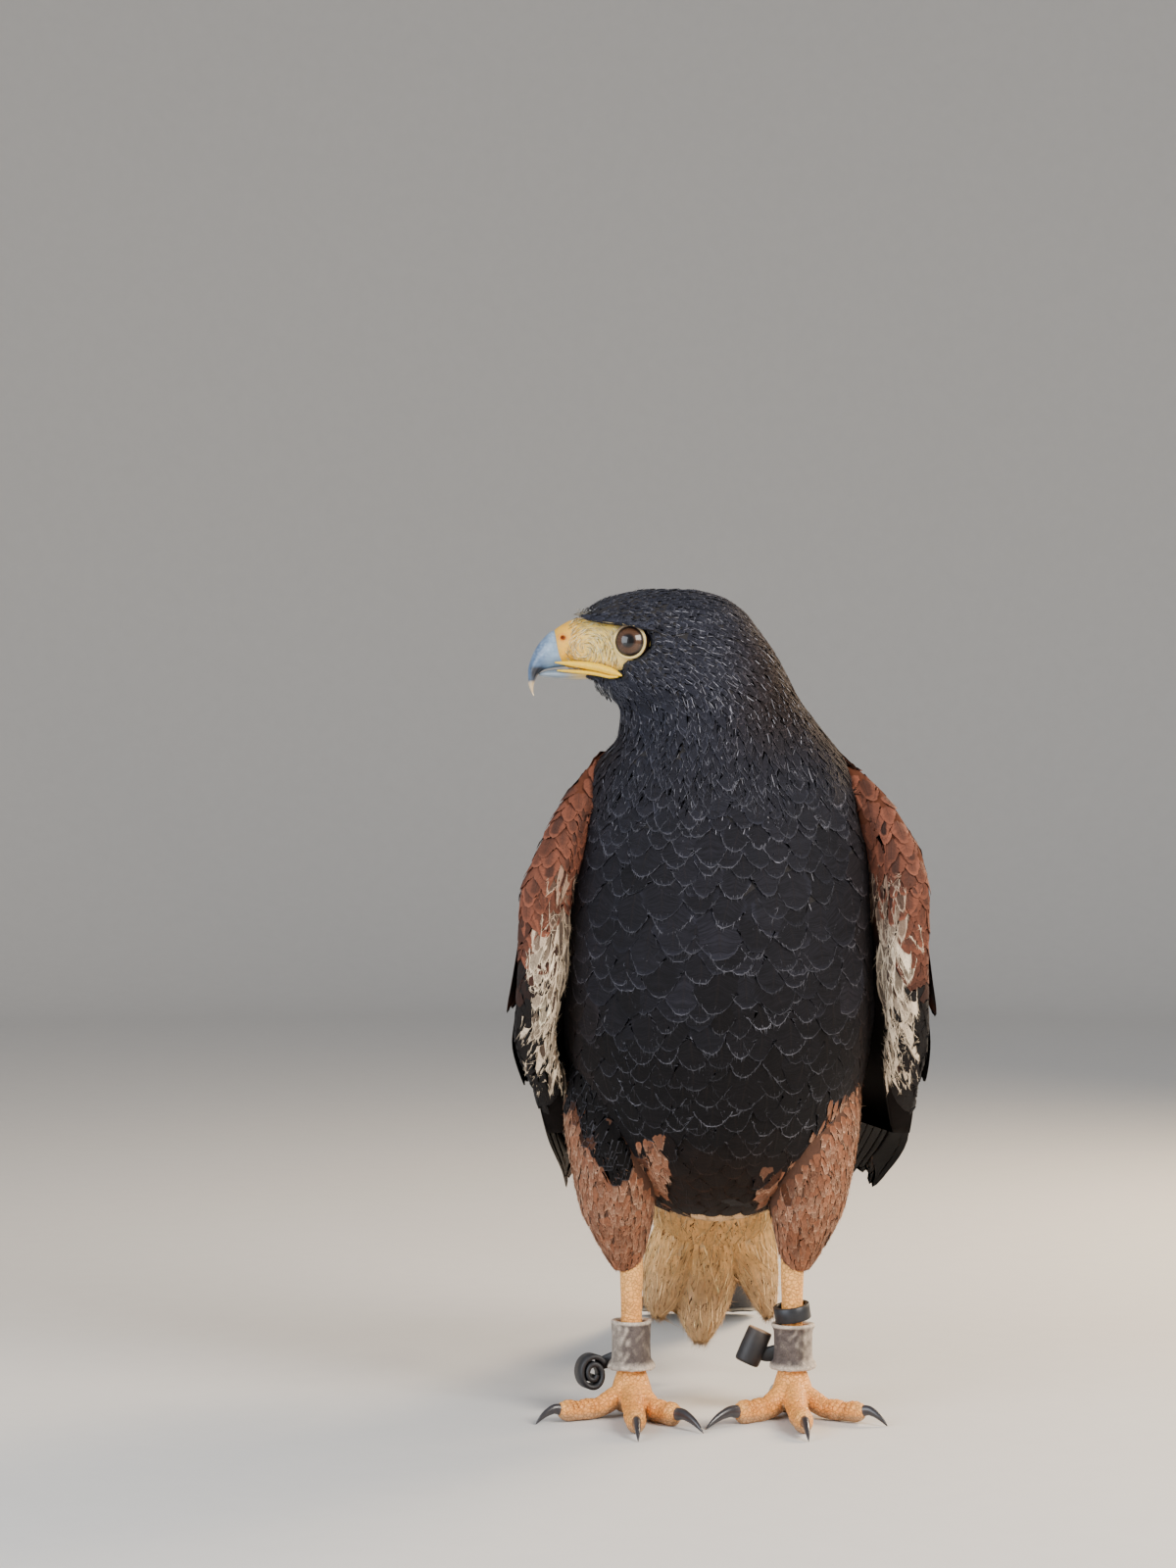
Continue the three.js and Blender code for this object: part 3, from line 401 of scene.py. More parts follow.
# Down under the feathers, between two tones.
def downMaterial(name="down", deep=(0.005, 0.004, 0.0045), pale=(0.014, 0.012, 0.013)):
    material, nodes, shader = newMaterial(name)
    grain = nodes.noise(nodes.objectPlace(), 400.0, 4.0)
    nodes.put(shader.inputs["Base Color"], nodes.mix(grain, deep, pale))
    nodes.put(shader.inputs["Normal"], nodes.bump(grain, 0.6, 0.0006))
    shader.inputs["Roughness"].default_value = 0.9
    return material


barbMaterial = plainMaterial("fine_barbs", {"grain": 300.0, "bump": 0.0, "roughness": 0.75, "gloss": 0.2})
softMaterial = downMaterial("pale_down", (0.5, 0.32, 0.15), (0.65, 0.45, 0.25))
fluffMaterial = featherMaterial("fluff", {
    "barbs": 12.0, "fringeWidth": 0.9, "fringeBreak": 1.2, "coreNarrow": 1.1, "shaftShow": 0.15, "bump": 0.35,
    "roughness": 0.8, "sheen": 0.2, "sheenTint": (1.0, 0.9, 0.75), "barbDark": 0.85, "barbLight": 1.12,
})


# Feathers

# The faces of a vane: an upper and an under sheet that share their border.
def vanePattern(rows, columns):
    top = np.arange((rows + 1) * (columns + 1)).reshape(rows + 1, columns + 1)
    under = top.copy()
    under[1:-1, 1:-1] = np.arange((rows - 1) * (columns - 1)).reshape(rows - 1, columns - 1) + top.size
    fours = [np.stack([grid[:-1, :-1], grid[:-1, 1:], grid[1:, 1:], grid[1:, :-1]], -1) for grid in (top, under)]
    return np.concatenate([fours[0].reshape(-1, 4)[:, ::-1], fours[1].reshape(-1, 4)])


# Builds many feathers as one mesh. points is a grid for each, under is where its under sheet's inner points
# lie, and facing is the way that the body faces there.
def vanesMesh(name, points, under, rim, uvRoot, colours, facing, even, patch=0.003):
    count, rowsPlus, columnsPlus = points.shape[:3]
    pattern = vanePattern(rowsPlus - 1, columnsPlus - 1)
    inner = under[:, 1:-1, 1:-1]
    perVane = rowsPlus * columnsPlus + inner.shape[1] * inner.shape[2]

    def gather(grid, inside=None):
        inside = grid[:, 1:-1, 1:-1] if inside is None else inside
        return np.concatenate([part.reshape(count, -1, *grid.shape[3:]) for part in (grid, inside)], 1)

    # The coat is lit partly as the body's own smooth form, so that its feathers run into one another.
    own = unit(np.cross(np.gradient(points, axis=2), np.gradient(points, axis=1)))
    own = own * np.sign((own * facing).sum(-1, keepdims=True) + 1e-9)
    lit = unit(own * (1 - even) + facing * even)
    lit = gather(lit, -lit[:, 1:-1, 1:-1])
    s, t = np.meshgrid(np.linspace(0, 1, columnsPlus), np.linspace(0, 1, rowsPlus))
    vaneUv = np.broadcast_to(np.stack([s, t], -1), (count, rowsPlus, columnsPlus, 2))
    bakeUv = uvRoot[:, None, None] + (vaneUv - 0.5) * np.asarray(patch)
    quads = (pattern[None] + np.arange(count)[:, None, None] * perVane).reshape(-1, 4)
    perPoint = {}
    for key, value in colours.items():  # one colour a feather, or one a point
        whole = gather(value) if value.ndim == 4 else np.repeat(value[:, None], perVane, 1)
        perPoint[key] = whole.reshape(-1, 4)
    uvMaps = {"vane": gather(vaneUv).reshape(-1, 2), "OFBake": gather(bakeUv).reshape(-1, 2)}
    floats = {"rim": gather(rim).reshape(-1)}
    return meshOf(name, gather(points, inner).reshape(-1, 3), quads, uvMaps, perPoint, floats, lit.reshape(-1, 3))


# The skin's nearest points to the given ones, and which way it faces there.
def nearest(tree, points):
    found = np.array([[*hit, *normal] for hit, normal, _, _ in map(tree.find_nearest, points.reshape(-1, 3))])
    return found[:, :3].reshape(points.shape), found[:, 3:].reshape(points.shape)


# Feathers laid over a skin. plan holds one value a feather: length, width, sink, lift, roll, tipRound and
# ragged, and for them all even and barbs. detail is the rows and columns of each vane and the seed.
def coat(name, skinTree, roots, lies, uvRoot, plan, colours, detail, material, slotName):
    rows, columns, seed = detail
    rng = np.random.default_rng(seed)
    count = len(roots)
    t = 1 - (1 - np.linspace(0, 1, rows + 1)[None, :, None]) ** 1.35
    s = np.sin(np.linspace(-1, 1, columns + 1) * np.pi / 2 * 0.93)[None, None, :] / math.sin(np.pi / 2 * 0.93)
    value = {
        key: np.broadcast_to(np.asarray(item, float), (count,))[:, None, None]
        for key, item in plan.items() if key not in ("barbs", "even")
    }
    half = value["width"] / 2 * np.minimum(1, 0.42 + 1.7 * t) * (1 - 0.2 * t**3)
    ragged = rng.normal(0, 1, (count, rows + 1, columns + 1)) * value["ragged"]
    ragged[:, :-1] *= 0.15
    forward = value["length"] * (t - value["tipRound"] * np.abs(s) ** 2.2 * t**3 + ragged)
    sideways = half * s + value["length"] * rng.normal(0, 0.05, (count, 1, 1)) * t**2
    flat, normals = nearest(skinTree, roots)
    lies = unit(lies - normals * (lies * normals).sum(-1, keepdims=True))
    beside = np.cross(normals, lies)
    grid = flat[:, None, None] + lies[:, None, None] * forward[..., None] + beside[:, None, None] * sideways[..., None]
    landed, facing = nearest(skinTree, grid)
    height = -value["sink"] + (value["sink"] + value["lift"]) * t**0.8
    height = height + value["roll"] * half * s + 0.04 * half * (1 - s**2) * np.minimum(1, 3 * t)
    height = height + rng.normal(0, 0.1, (count, 1, 1)) * value["lift"] * t
    points = landed + facing * height[..., None]
    thick = 0.22 * (1 - 0.7 * t) * (1 - s**2) + 0.05
    under = points - facing * np.broadcast_to(thick, height.shape)[..., None]
    rimAcross = half * (1 - np.abs(s)) + value["length"] * 0.35 * (1 - np.minimum(1, t * 1.6))
    rim = np.minimum(rimAcross, value["length"] * (1 - t) * (1 - 0.3 * s**2))
    piece = vanesMesh(name, points, under, rim, uvRoot, colours, facing, plan.get("even", 0.6))
    finishPiece(piece, material, slotName)
    if "barbs" in plan:
        finishPiece(barbs(name + "_barbs", points, facing, uvRoot, colours, plan["barbs"], rng), barbMaterial, slotName)


# Fine barbs that reach past the feathers' edges, each a thin spike.
def barbs(name, points, facing, uvRoot, colours, plan, rng):
    feathers, columns = len(points), points.shape[2]
    each, length, wide = plan["each"], plan["length"], plan["wide"]
    place = rng.uniform(0, columns - 1.001, (feathers, each))
    low, share = place.astype(int), (place % 1)[..., None]
    row = -1 - (rng.random((feathers, each)) < 0.3)
    pick = np.arange(feathers)[:, None]
    take = lambda grid, r: grid[pick, r, low] * (1 - share) + grid[pick, r, low + 1] * share
    edge, normal = take(points, row), unit(take(facing, row))
    way = unit(unit(edge - take(points, row - 2)) + rng.normal(0, 0.16, edge.shape))
    across = unit(np.cross(way, normal)) * wide / 2
    reach = length * rng.lognormal(0, 0.35, (feathers, each, 1))
    base = edge - way * length * 0.5 + normal * 0.03
    tip = base + way * (reach + length * 0.5) + normal * rng.normal(0.05, 0.1, reach.shape)
    spikes = np.stack([base + across, base - across, base + normal * wide * 0.6, tip], 2)
    faces = np.array([(0, 2, 1), (0, 1, 3), (1, 2, 3), (2, 0, 3)])
    number = feathers * each
    quads = (faces[None] + 4 * np.arange(number)[:, None, None]).reshape(-1, 3)
    tone = rng.random((feathers, each, 1)) * colours["fringeColour"][:, None, 3:] * plan.get("pale", 1.0)
    paint = colours["baseColour"][:, None, :3] * (1 - tone) + colours["fringeColour"][:, None, :3] * tone
    paint = np.concatenate([paint, np.ones_like(tone)], -1).reshape(-1, 1, 4)
    uv = np.repeat(uvRoot, each, 0)[:, None] + rng.uniform(-0.001, 0.001, (number, 4, 2))
    lit = np.repeat(normal.reshape(-1, 1, 3), 4, 1).reshape(-1, 3)
    paint = {"baseColour": np.repeat(paint, 4, 1).reshape(-1, 4)}
    return meshOf(name, spikes.reshape(-1, 3), quads, {"OFBake": uv.reshape(-1, 2)}, paint, None, lit)


# Spreads points over a surface of two parameters, no two nearer than the spacing.
def scatter(surface, uSpan, vSpan, spacing, seed, keep=None):
    rng = np.random.default_rng(seed)
    u = np.linspace(*uSpan, 220)
    v = np.linspace(*vSpan, 200)
    uu, vv = np.meshgrid(u, v, indexing="ij")
    grid = surface(uu, vv)
    a = grid[1:, :-1] - grid[:-1, :-1]
    b = grid[:-1, 1:] - grid[:-1, :-1]
    area = np.linalg.norm(np.cross(a, b), axis=-1)
    middle = (grid[1:, 1:] + grid[:-1, :-1]) / 2
    room = np.broadcast_to(spacing(middle) if callable(spacing) else spacing, area.shape)
    weight = (area / room**2).ravel()
    count = int(weight.sum() * 7)  # tries for each place
    picks = rng.choice(weight.size, count, p=weight / weight.sum())
    i, j = np.unravel_index(picks, area.shape)
    uPick = u[i] + rng.random(count) * (u[1] - u[0])
    vPick = v[j] + rng.random(count) * (v[1] - v[0])
    spots = surface(uPick, vPick)
    gaps = spacing(spots) if callable(spacing) else np.full(count, float(spacing))
    allowed = np.ones(count, bool) if keep is None else keep(spots, uPick, vPick)
    cell = float(gaps.max())
    steps = [(a, b, c) for a in (-1, 0, 1) for b in (-1, 0, 1) for c in (-1, 0, 1)]
    taken, chosen = {}, []
    for k in np.flatnonzero(allowed):
        x, y, z = spots[k]
        i, j, n = int(x // cell), int(y // cell), int(z // cell)
        limit = gaps[k] ** 2
        near = (spot for a, b, c in steps for spot in taken.get((i + a, j + b, n + c), ()))
        if all((x - ox) ** 2 + (y - oy) ** 2 + (z - oz) ** 2 >= limit for ox, oy, oz in near):
            taken.setdefault((i, j, n), []).append((x, y, z))
            chosen.append(k)
    return spots[chosen], uPick[chosen], vPick[chosen]


def meshPoints(mesh):
    co = np.empty(len(mesh.vertices) * 3, np.float32)
    mesh.vertices.foreach_get("co", co)
    return co.reshape(-1, 3) * 1000 - hawkShift


def treeOf(*things):
    points, faces = [], []
    for thing in things:
        start = len(points)
        points.extend(meshPoints(thing.data).tolist())
        faces.extend([[start + i for i in face.vertices] for face in thing.data.polygons])
    return BVHTree.FromPolygons(points, faces)


# Where each skin lies on the bake: a cell for each, so that no two share a spot.
bakeCells = {
    "body": (0.0, 0.0, 0.5, 0.5),
    "head": (0.5, 0.0, 0.5, 0.5),
    "thigh_left": (0.0, 0.5, 0.16, 0.25),
    "thigh_right": (0.17, 0.5, 0.16, 0.25),
    "wing_left": (0.34, 0.5, 0.12, 0.12),
    "wing_right": (0.34, 0.63, 0.12, 0.12),
    "shoulder_left": (0.47, 0.5, 0.12, 0.12),
    "shoulder_right": (0.47, 0.63, 0.12, 0.12),
    "flight_left": (0.6, 0.5, 0.19, 0.12),
    "flight_right": (0.6, 0.63, 0.19, 0.12),
    "coverts_left": (0.8, 0.5, 0.19, 0.12),
    "coverts_right": (0.8, 0.63, 0.19, 0.12),
    "lining_left": (0.0, 0.76, 0.16, 0.22),
    "lining_right": (0.17, 0.76, 0.16, 0.22),
    "tail": (0.34, 0.76, 0.2, 0.22),
    "tail_skin": (0.55, 0.76, 0.09, 0.1),
    "uppertail": (0.55, 0.87, 0.09, 0.06),
    "bristles": (0.55, 0.94, 0.09, 0.05),
    "vent": (0.66, 0.76, 0.2, 0.22),
    "hairs": (0.87, 0.76, 0.12, 0.11),
    "streaks": (0.87, 0.88, 0.12, 0.05),
    "brows": (0.87, 0.94, 0.06, 0.05),
    "chin": (0.94, 0.94, 0.05, 0.05),
}


def bakeSpot(cell, u, v):
    x, y, wide, high = bakeCells[cell]
    return np.stack([x + 0.006 + np.clip(u, 0, 1) * (wide - 0.012), y + 0.006 + np.clip(v, 0, 1) * (high - 0.012)], -1)


# Body, neck and head: one surface of level ovals

bodyShape = {
    "low": 86.0,
    "top": 379.6,
    "rows": [  # height, reach right, left, front and back, widest place
        (86, -7, 7, 26, 62, 0), (89, -22, 22, 10, 80, 0), (96, -37, 37, -9, 92, 0), (108, -50, 50, -27, 99, 0),
        (125, -61, 61, -44, 101, 0), (145, -68, 68, -56, 97, 0), (170, -73, 73, -63, 85, 0),
        (200, -75, 75, -66, 71, 0), (230, -74, 74, -64, 59, 0), (258, -71, 73, -57, 49, 0),
        (280, -67, 69, -50, 42, 0), (298, -60, 62, -44, 37, 0), (312, -48, 51, -40, 29, -1),
        (324, -46.5, 41, -38, 23, -4), (331, -51.5, 36, -38, 21, -8), (338, -58.5, 32.5, -37, 19, -11),
        (350, -59.5, 25.5, -35, 17, -15), (360, -61, 18.5, -33, 15, -16), (368, -61.5, 12, -29, 11, -18),
        (374.5, -53.5, 3, -22, 4, -21), (379.6, -29, -14, -12, -6, -21),
    ],
    "coatDepth": curve((86, 3.2), (250, 3.4), (300, 2.8), (330, 1.6), (350, 1.0), (380, 0.9)),
}
bodyReach = [curve(*[(row[0], row[k]) for row in bodyShape["rows"]]) for k in range(1, 6)]


def bodyPoint(turn, z, grow=0.0):
    right, left, front, back, widest = (reach(z) for reach in bodyReach)
    sine = np.sin(turn)
    reachX = np.where(sine > 0, left - widest, widest - right)
    x = widest + (reachX + grow) * sine
    y = (front + back) / 2 - ((back - front) / 2 + grow) * np.cos(turn)
    return stack(x, y, z)


# The bare face, seen from the side: the coat ends on this outline.
bareFace = np.array([
    (-90, 372), (-63, 366.8), (-56.5, 364.6), (-42, 362.4), (-35.4, 360.6), (-32.6, 357), (-32.0, 352.6),
    (-35, 348.8), (-40, 346.4), (-45.8, 344.6), (-44.8, 339.4), (-52, 337.4), (-59, 336.6), (-90, 334),
])


def insideOutline(x, z, outline):
    inside = np.zeros(np.shape(x), bool)
    for (x1, z1), (x2, z2) in zip(outline, np.roll(outline, -1, axis=0)):
        crosses = (z1 > z) != (z2 > z)
        at = (x2 - x1) * (z - z1) / (z2 - z1 + 1e-12) + x1
        inside ^= crosses & (x < at)
    return inside


eyePlan = {"radius": 8.6, "out": 15.6, "x": -40.2, "z": 354.2, "ringRadius": 7.1, "lidRadius": 8.75}


def eyeCentre(side):
    return np.array([eyePlan["x"], headMiddle - side * eyePlan["out"], eyePlan["z"]])


# The skin under the coat: sunk by the coat's depth, drawn in round the eyes and raised over them.
def skinPoint(turn, z):
    points = bodyPoint(turn, z, -bodyShape["coatDepth"](z))
    for side in (1, -1):
        centre = eyeCentre(side)
        away = np.linalg.norm((points - centre)[..., [0, 2]], axis=-1)
        onSide = smooth(2, 8, -side * (points[..., 1] - headMiddle))
        points[..., 1] += side * onSide * 3.2 * np.exp(-((away / 8.5) ** 4))
        above = points[..., 2] - (364.4 - 0.12 * (points[..., 0] + 56))
        brow = np.exp(-((above / np.where(above > 0, 6.5, 1.2)) ** 2))
        brow = brow * smooth(-64, -54, points[..., 0]) * smooth(-20, -32, points[..., 0])
        points[..., 1] -= side * onSide * 3.4 * brow
        bare = insideOutline(points[..., 0] - 1, points[..., 2], bareFace)
        points[..., 1] += side * onSide * 3.0 * bare
    return points


def bodySkin():
    z = np.linspace(bodyShape["low"] + 1.4, bodyShape["top"] - 1.2, 220)
    zz, tt = np.meshgrid(z, around(144), indexing="ij")

    def spot(u, v):
        return np.where((v > 0.83)[:, None], bakeSpot("head", u, (v - 0.83) / 0.17), bakeSpot("body", u, v / 0.83))

    return skinOf("hawk_skin", skinPoint(tt, zz), spot)


# Camera, light and floor

cameraPlan = {"place": (-60.0, -1500.0, 290.0), "lens": 75.0, "sensor": 36.0}
lightPlan = {
    "key": {"place": (900, -900, 900), "size": 700, "watts": 31, "colour": (1.0, 0.93, 0.84)},
    "rim": {"place": (900, 700, 700), "size": 420, "watts": 26, "colour": (1.0, 0.76, 0.5)},
    "fill": {"place": (-1100, -900, 600), "size": 1100, "watts": 25, "colour": (0.88, 0.93, 1.0)},
    "sky": 0.42,
}


def studio():
    camera = bpy.data.cameras.new("camera")
    camera.sensor_fit = "AUTO"
    camera.sensor_width = cameraPlan["sensor"]
    camera.lens = cameraPlan["lens"]
    holder = newObject("camera", camera)
    holder.location = toScene(cameraPlan["place"])
    holder.rotation_euler = (math.pi / 2, 0, 0)
    bpy.context.scene.camera = holder

    target = toScene((0, 0, 190))
    for name in ("key", "rim", "fill"):
        plan = lightPlan[name]
        lamp = bpy.data.lights.new(name, "AREA")
        lamp.size = plan["size"] / 1000
        lamp.energy = plan["watts"]
        lamp.color = plan["colour"]
        thing = newObject(name, lamp)
        thing.location = toScene(plan["place"])
        thing.rotation_euler = (Vector(target) - thing.location).to_track_quat("-Z", "Y").to_euler()

    world = bpy.data.worlds.new("studio")
    bpy.context.scene.world = world
    world.use_nodes = True
    sky = world.node_tree.nodes["Background"].inputs
    sky[0].default_value = (0.9, 0.93, 1.0, 1)
    sky[1].default_value = lightPlan["sky"]

    reach, bend, rise = 3300, 700, 2400
    profile = [(reach * share, 0) for share in (0.0002, 0.1, 0.3, 0.5)] + [(reach - bend, 0)]
    angles = np.linspace(0.1, math.pi / 2, 14)
    profile += [(reach - bend + bend * math.sin(a), bend - bend * math.cos(a)) for a in angles]
    profile += [(reach, rise)]
    turn = np.linspace(0, 2 * np.pi, 97)
    points = np.array([[(r * np.cos(a), r * np.sin(a), z + groundHeight) for a in turn] for r, z in profile])
    floor = meshOf("floor", points.reshape(-1, 3), gridQuads(*points.shape[:2]))
    material, nodes, shader = newMaterial("floor")
    grain = nodes.noise(nodes.objectPlace(), 60.0, 4.0)
    nodes.put(shader.inputs["Base Color"], nodes.mix(grain, (0.62, 0.61, 0.59), (0.66, 0.65, 0.63)))
    shader.inputs["Roughness"].default_value = 0.85
    floor.data.materials.append(material)


studio()
print("studio ready")


# Coat of the body

# The cool blue in dark, head and fringe is painted sky light, and head is also lighter as painted light from above.
# belly is the near-black plumage made darker still by painted shade under the chest.
coatPlan = {
    "dark": (0.011, 0.011, 0.016),
    "head": (0.023, 0.025, 0.038),
    "belly": (0.0032, 0.0025, 0.0026),
    "low": (0.014, 0.0075, 0.0045),
    "back": (0.02, 0.012, 0.0085),
    "fringe": (0.15, 0.15, 0.175),
    "fringeWarm": (0.085, 0.035, 0.018),
    "cream": (0.7, 0.47, 0.25),
    "streak": (0.26, 0.26, 0.3),
    "seed": 11,
}
streakPlan = [  # from and to which height, their spacing, length and width
    ((318, 368), 2.9, 3.4, 0.2), ((270, 330), 4.6, 4.8, 0.25), ((130, 275), 11.0, 4.6, 0.28),
]
coatRegions = {
    "torso": {"z": (87.6, 301), "spacing": 7.4, "length": 3.1, "width": 2.8, "lift": 0.75, "rows": 7, "columns": 10,
              "tipRound": 0.42, "barbs": {"each": 26, "length": 1.6, "wide": 0.22, "pale": 0.9}},
    "neck": {"z": (280, 345), "spacing": 2.9, "length": 4.2, "width": 1.9, "lift": 0.6, "rows": 6, "columns": 4,
             "tipRound": 0.6, "barbs": {"each": 9, "length": 1.5, "wide": 0.18, "pale": 0.8}},
    "head": {"z": (300, 378.4), "spacing": 1.95, "length": 3.2, "width": 1.5, "lift": 0.4, "rows": 4, "columns": 3,
             "tipRound": 0.6, "barbs": {"each": 5, "length": 1.0, "wide": 0.14, "pale": 0.7}},
}
darkLook = {
    "barbs": 46.0, "barbSlant": 0.3, "fringeWidth": 0.75, "fringeBreak": 2.6, "coreNarrow": 1.0, "shaftShow": 0.15,
    "bump": 0.4, "sheen": 0.04, "gloss": 0.12, "roughness": 0.75, "barbDark": 0.55, "barbLight": 1.55,
}
smallFeather = {"sink": 0.2, "roll": 0, "tipRound": 0.4, "ragged": 0.02}


# The rows of a plan that hold one value a feather, for some of the feathers.
def picked(plan, pick):
    return {key: item[pick] if np.shape(item)[:1] == pick.shape else item for key, item in plan.items()}


def bodyLie(points):
    down = np.array([0.0, 0.22, -1.0])
    fromBill = unit(points - np.array([-66.0, headMiddle, 353.0]))
    fromBill[..., 2] -= 0.25
    share = smooth(312, 345, points[..., 2])[..., None]
    return unit(down * (1 - share) + unit(fromBill) * share)


def bodyCoat(skin, ridges):
    trees = {"torso": treeOf(skin), "head": treeOf(skin, *ridges)}
    trees["neck"] = trees["torso"]
    material = featherMaterial("dark_feathers", darkLook)
    rng = np.random.default_rng(coatPlan["seed"])

    def belongs(name, spots):
        z, x = spots[:, 2], spots[:, 0]
        line = 330 - 0.35 * (x + 15)
        collar = 291 + 5 * np.sin(0.17 * x + 1) + 3 * np.sin(0.41 * x)
        if name == "torso":
            return z < collar
        if name == "neck":
            return (z >= collar - 2) & (z < line)
        bare = insideOutline(x, z, bareFace) & (np.abs(spots[:, 1] - headMiddle) < 40)
        return (z >= line) & ~bare

    for number, (name, plan) in enumerate(coatRegions.items()):
        gap = lambda spots: plan["spacing"] * (1 - 0.34 * smooth(245, 295, spots[..., 2]) * (name == "torso"))
        spots, turn, z = scatter(
            skinPoint, (0, 2 * np.pi), plan["z"], gap, 20 + number, lambda spots, u, v: belongs(name, spots),
        )
        count = len(spots)
        upper = smooth(298, 335, z)
        front = smooth(0.1, 0.75, np.cos(turn)) * (1 - upper) + smooth(24, -8, spots[:, 0]) * upper
        grow = rng.lognormal(0, 0.13, count)
        if name == "torso":
            grow *= 1 - 0.42 * smooth(240, 292, z) - 0.36 * smooth(165, 105, z)
        if name == "neck":
            grow *= 1 + 0.15 * smooth(325, 295, z)
        if name == "head":
            grow *= 0.7 + 0.5 * smooth(-52, -10, spots[:, 0]) + 0.3 * smooth(352, 335, z)
        lie = bodyLie(spots) + rng.normal(0, 0.1, (count, 3))
        base = tint(coatPlan["dark"], count, 0.2, rng, rng.random(count))
        # Painted light: lighter and bluer towards the head, and darker towards the belly as painted shade.
        shift(base, coatPlan["head"], smooth(250, 350, z) * rng.uniform(0.7, 1.2, count))
        shift(base, coatPlan["belly"], 0.85 * smooth(235, 175, z + rng.normal(0, 8, count)))
        low = smooth(150, 118, z)
        shift(base, coatPlan["low"], low)
        shift(base, coatPlan["back"], 0.85 * (1 - front))
        # The belly's lower edge is dark or cream, with nothing between.
        pale = smooth(101, 95, z + rng.normal(0, 1.5, count)) * smooth(-14, 2, spots[:, 1] + rng.normal(0, 3, count))
        pale = np.maximum(pale, smooth(132, 118, z) * smooth(62, 76, spots[:, 1]))
        pale = (pale > 0.5).astype(float)
        shift(base, coatPlan["cream"], pale)
        show = np.clip(rng.normal(0.55, 0.3, count), 0.05, 1) * (0.25 + 0.75 * front)
        fringe = tint(coatPlan["fringe"], count, 0.25, rng, show * (1 - 0.5 * low))
        shift(fringe, coatPlan["fringeWarm"], np.maximum(low, 0.9 * (1 - front)))
        colours = shades(base, tint(coatPlan["belly"], count, 0.1, rng, 0.45 * (1 - pale)), fringe)
        sizes = {
            "length": plan["spacing"] * plan["length"] * grow,
            "width": plan["spacing"] * plan["width"] * grow * rng.normal(1, 0.06, count),
            "sink": 0.55 * plan["lift"],
            "lift": plan["lift"] * np.clip(rng.normal(1, 0.22, count), 0.5, 1.6),
            "roll": rng.normal(0, 0.016, count),
            "tipRound": np.clip(rng.normal(plan["tipRound"], 0.05, count), 0.3, 0.7),
            "ragged": 0.012,
        }
        onHead = name == "head"
        spot = bakeSpot("head" if onHead else "body", turn / (2 * np.pi), (z - 300) / 80 if onHead else (z - 86) / 262)
        behind = np.cos(turn) < 0.1 if name == "torso" else spots[:, 1] >= headMiddle
        for half, pick in (("front", ~behind), ("back", behind)):
            coat(
                "%s_feathers_%s" % (name, half), trees[name], spots[pick], lie[pick], spot[pick],
                picked(sizes, pick) | {"barbs": plan["barbs"]}, picked(colours, pick),
                (plan["rows"], plan["columns"], 40 + number), material, "dark_plumage",
            )
        print(name, "feathers:", count)

    # Fine pale hairs on the cheeks, throat and chest, and on the belly a few.
    for number, (span, gap, length, wide) in enumerate(streakPlan):
        spots, turn, z = scatter(
            skinPoint, (-0.62 * np.pi, 0.62 * np.pi), span, gap, 300 + number,
            lambda spots, u, v: ~insideOutline(spots[:, 0] - 2, spots[:, 2], bareFace) & (spots[:, 0] < 40),
        )
        level = (number + (z - span[0]) / (span[1] - span[0]) * 0.9) / len(streakPlan)
        spot = bakeSpot("streaks", turn / (2 * np.pi) + 0.5, level)
        hairs(
            "streaks_%d" % number, trees["torso"], spots, bodyLie(spots), spot, coatPlan["streak"],
            (length, wide, 0.35, 0.45), 310 + number, 0.22, "dark_plumage",
        )

    # Small feathers on the brows.
    roots = []
    for ridge in ridges:
        points = meshPoints(ridge.data)
        outer = points[:, 2] > 363.2 - 0.12 * (points[:, 0] + 56)
        roots.append(points[rng.random(len(points)) < 0.7 * outer])
    roots = np.concatenate(roots)
    count = len(roots)
    lies = np.array([1.0, 0, -0.1]) + rng.normal(0, 0.1, (count, 3))
    sizes = {"length": 5.0 * rng.lognormal(0, 0.2, count), "width": 1.9, "lift": 0.45} | smallFeather
    shade = tint(coatPlan["head"], count, 0.15, rng, rng.random(count))
    colours = shades(shade, shade * [1, 1, 1, 0], tint(coatPlan["fringe"], count, 0.2, rng, 0.25))
    level = 0.5 * (roots[:, 1] > headMiddle) + 0.48 * (roots[:, 2] - 355) / 12
    spot = bakeSpot("brows", (roots[:, 0] + 64) / 40, level)
    coat("brow_feathers", trees["head"], roots, lies, spot, sizes, colours, (4, 3, 55), material, "dark_plumage")
    return material


# Small dark feathers under the jaw, from the lower lips back to the throat.
def chinCoat(material, tree):
    rng = np.random.default_rng(77)
    count = 520
    along, down = rng.random(count), rng.random(count)
    side = np.where(rng.random(count) < 0.5, -1, 1)
    out = (10.2 + 7.4 * along) * (1 - 0.75 * down**1.5)
    roots = stack(-62.5 + 17.5 * along + 2.5 * down, headMiddle - side * out, 338.6 - 1.6 * along - 4.6 * down)
    lies = np.array([0.8, 0, -0.5]) + rng.normal(0, 0.14, (count, 3))
    grow = rng.lognormal(0, 0.2, count)
    shade = tint(coatPlan["head"], count, 0.2, rng, rng.random(count))
    colours = shades(shade, shade * [1, 1, 1, 0], tint(coatPlan["fringe"], count, 0.2, rng, 0.5))
    sizes = smallFeather | {
        "length": 5.2 * grow, "width": 1.9 * grow, "sink": 0.1, "lift": 0.5, "tipRound": 0.55,
        "barbs": coatRegions["head"]["barbs"],
    }
    spot = bakeSpot("chin", (roots[:, 0] + 64) / 24, 0.5 + side * (0.05 + 0.4 * down))
    coat("chin_feathers", tree, roots, lies, spot, sizes, colours, (4, 3, 56), material, "dark_plumage")


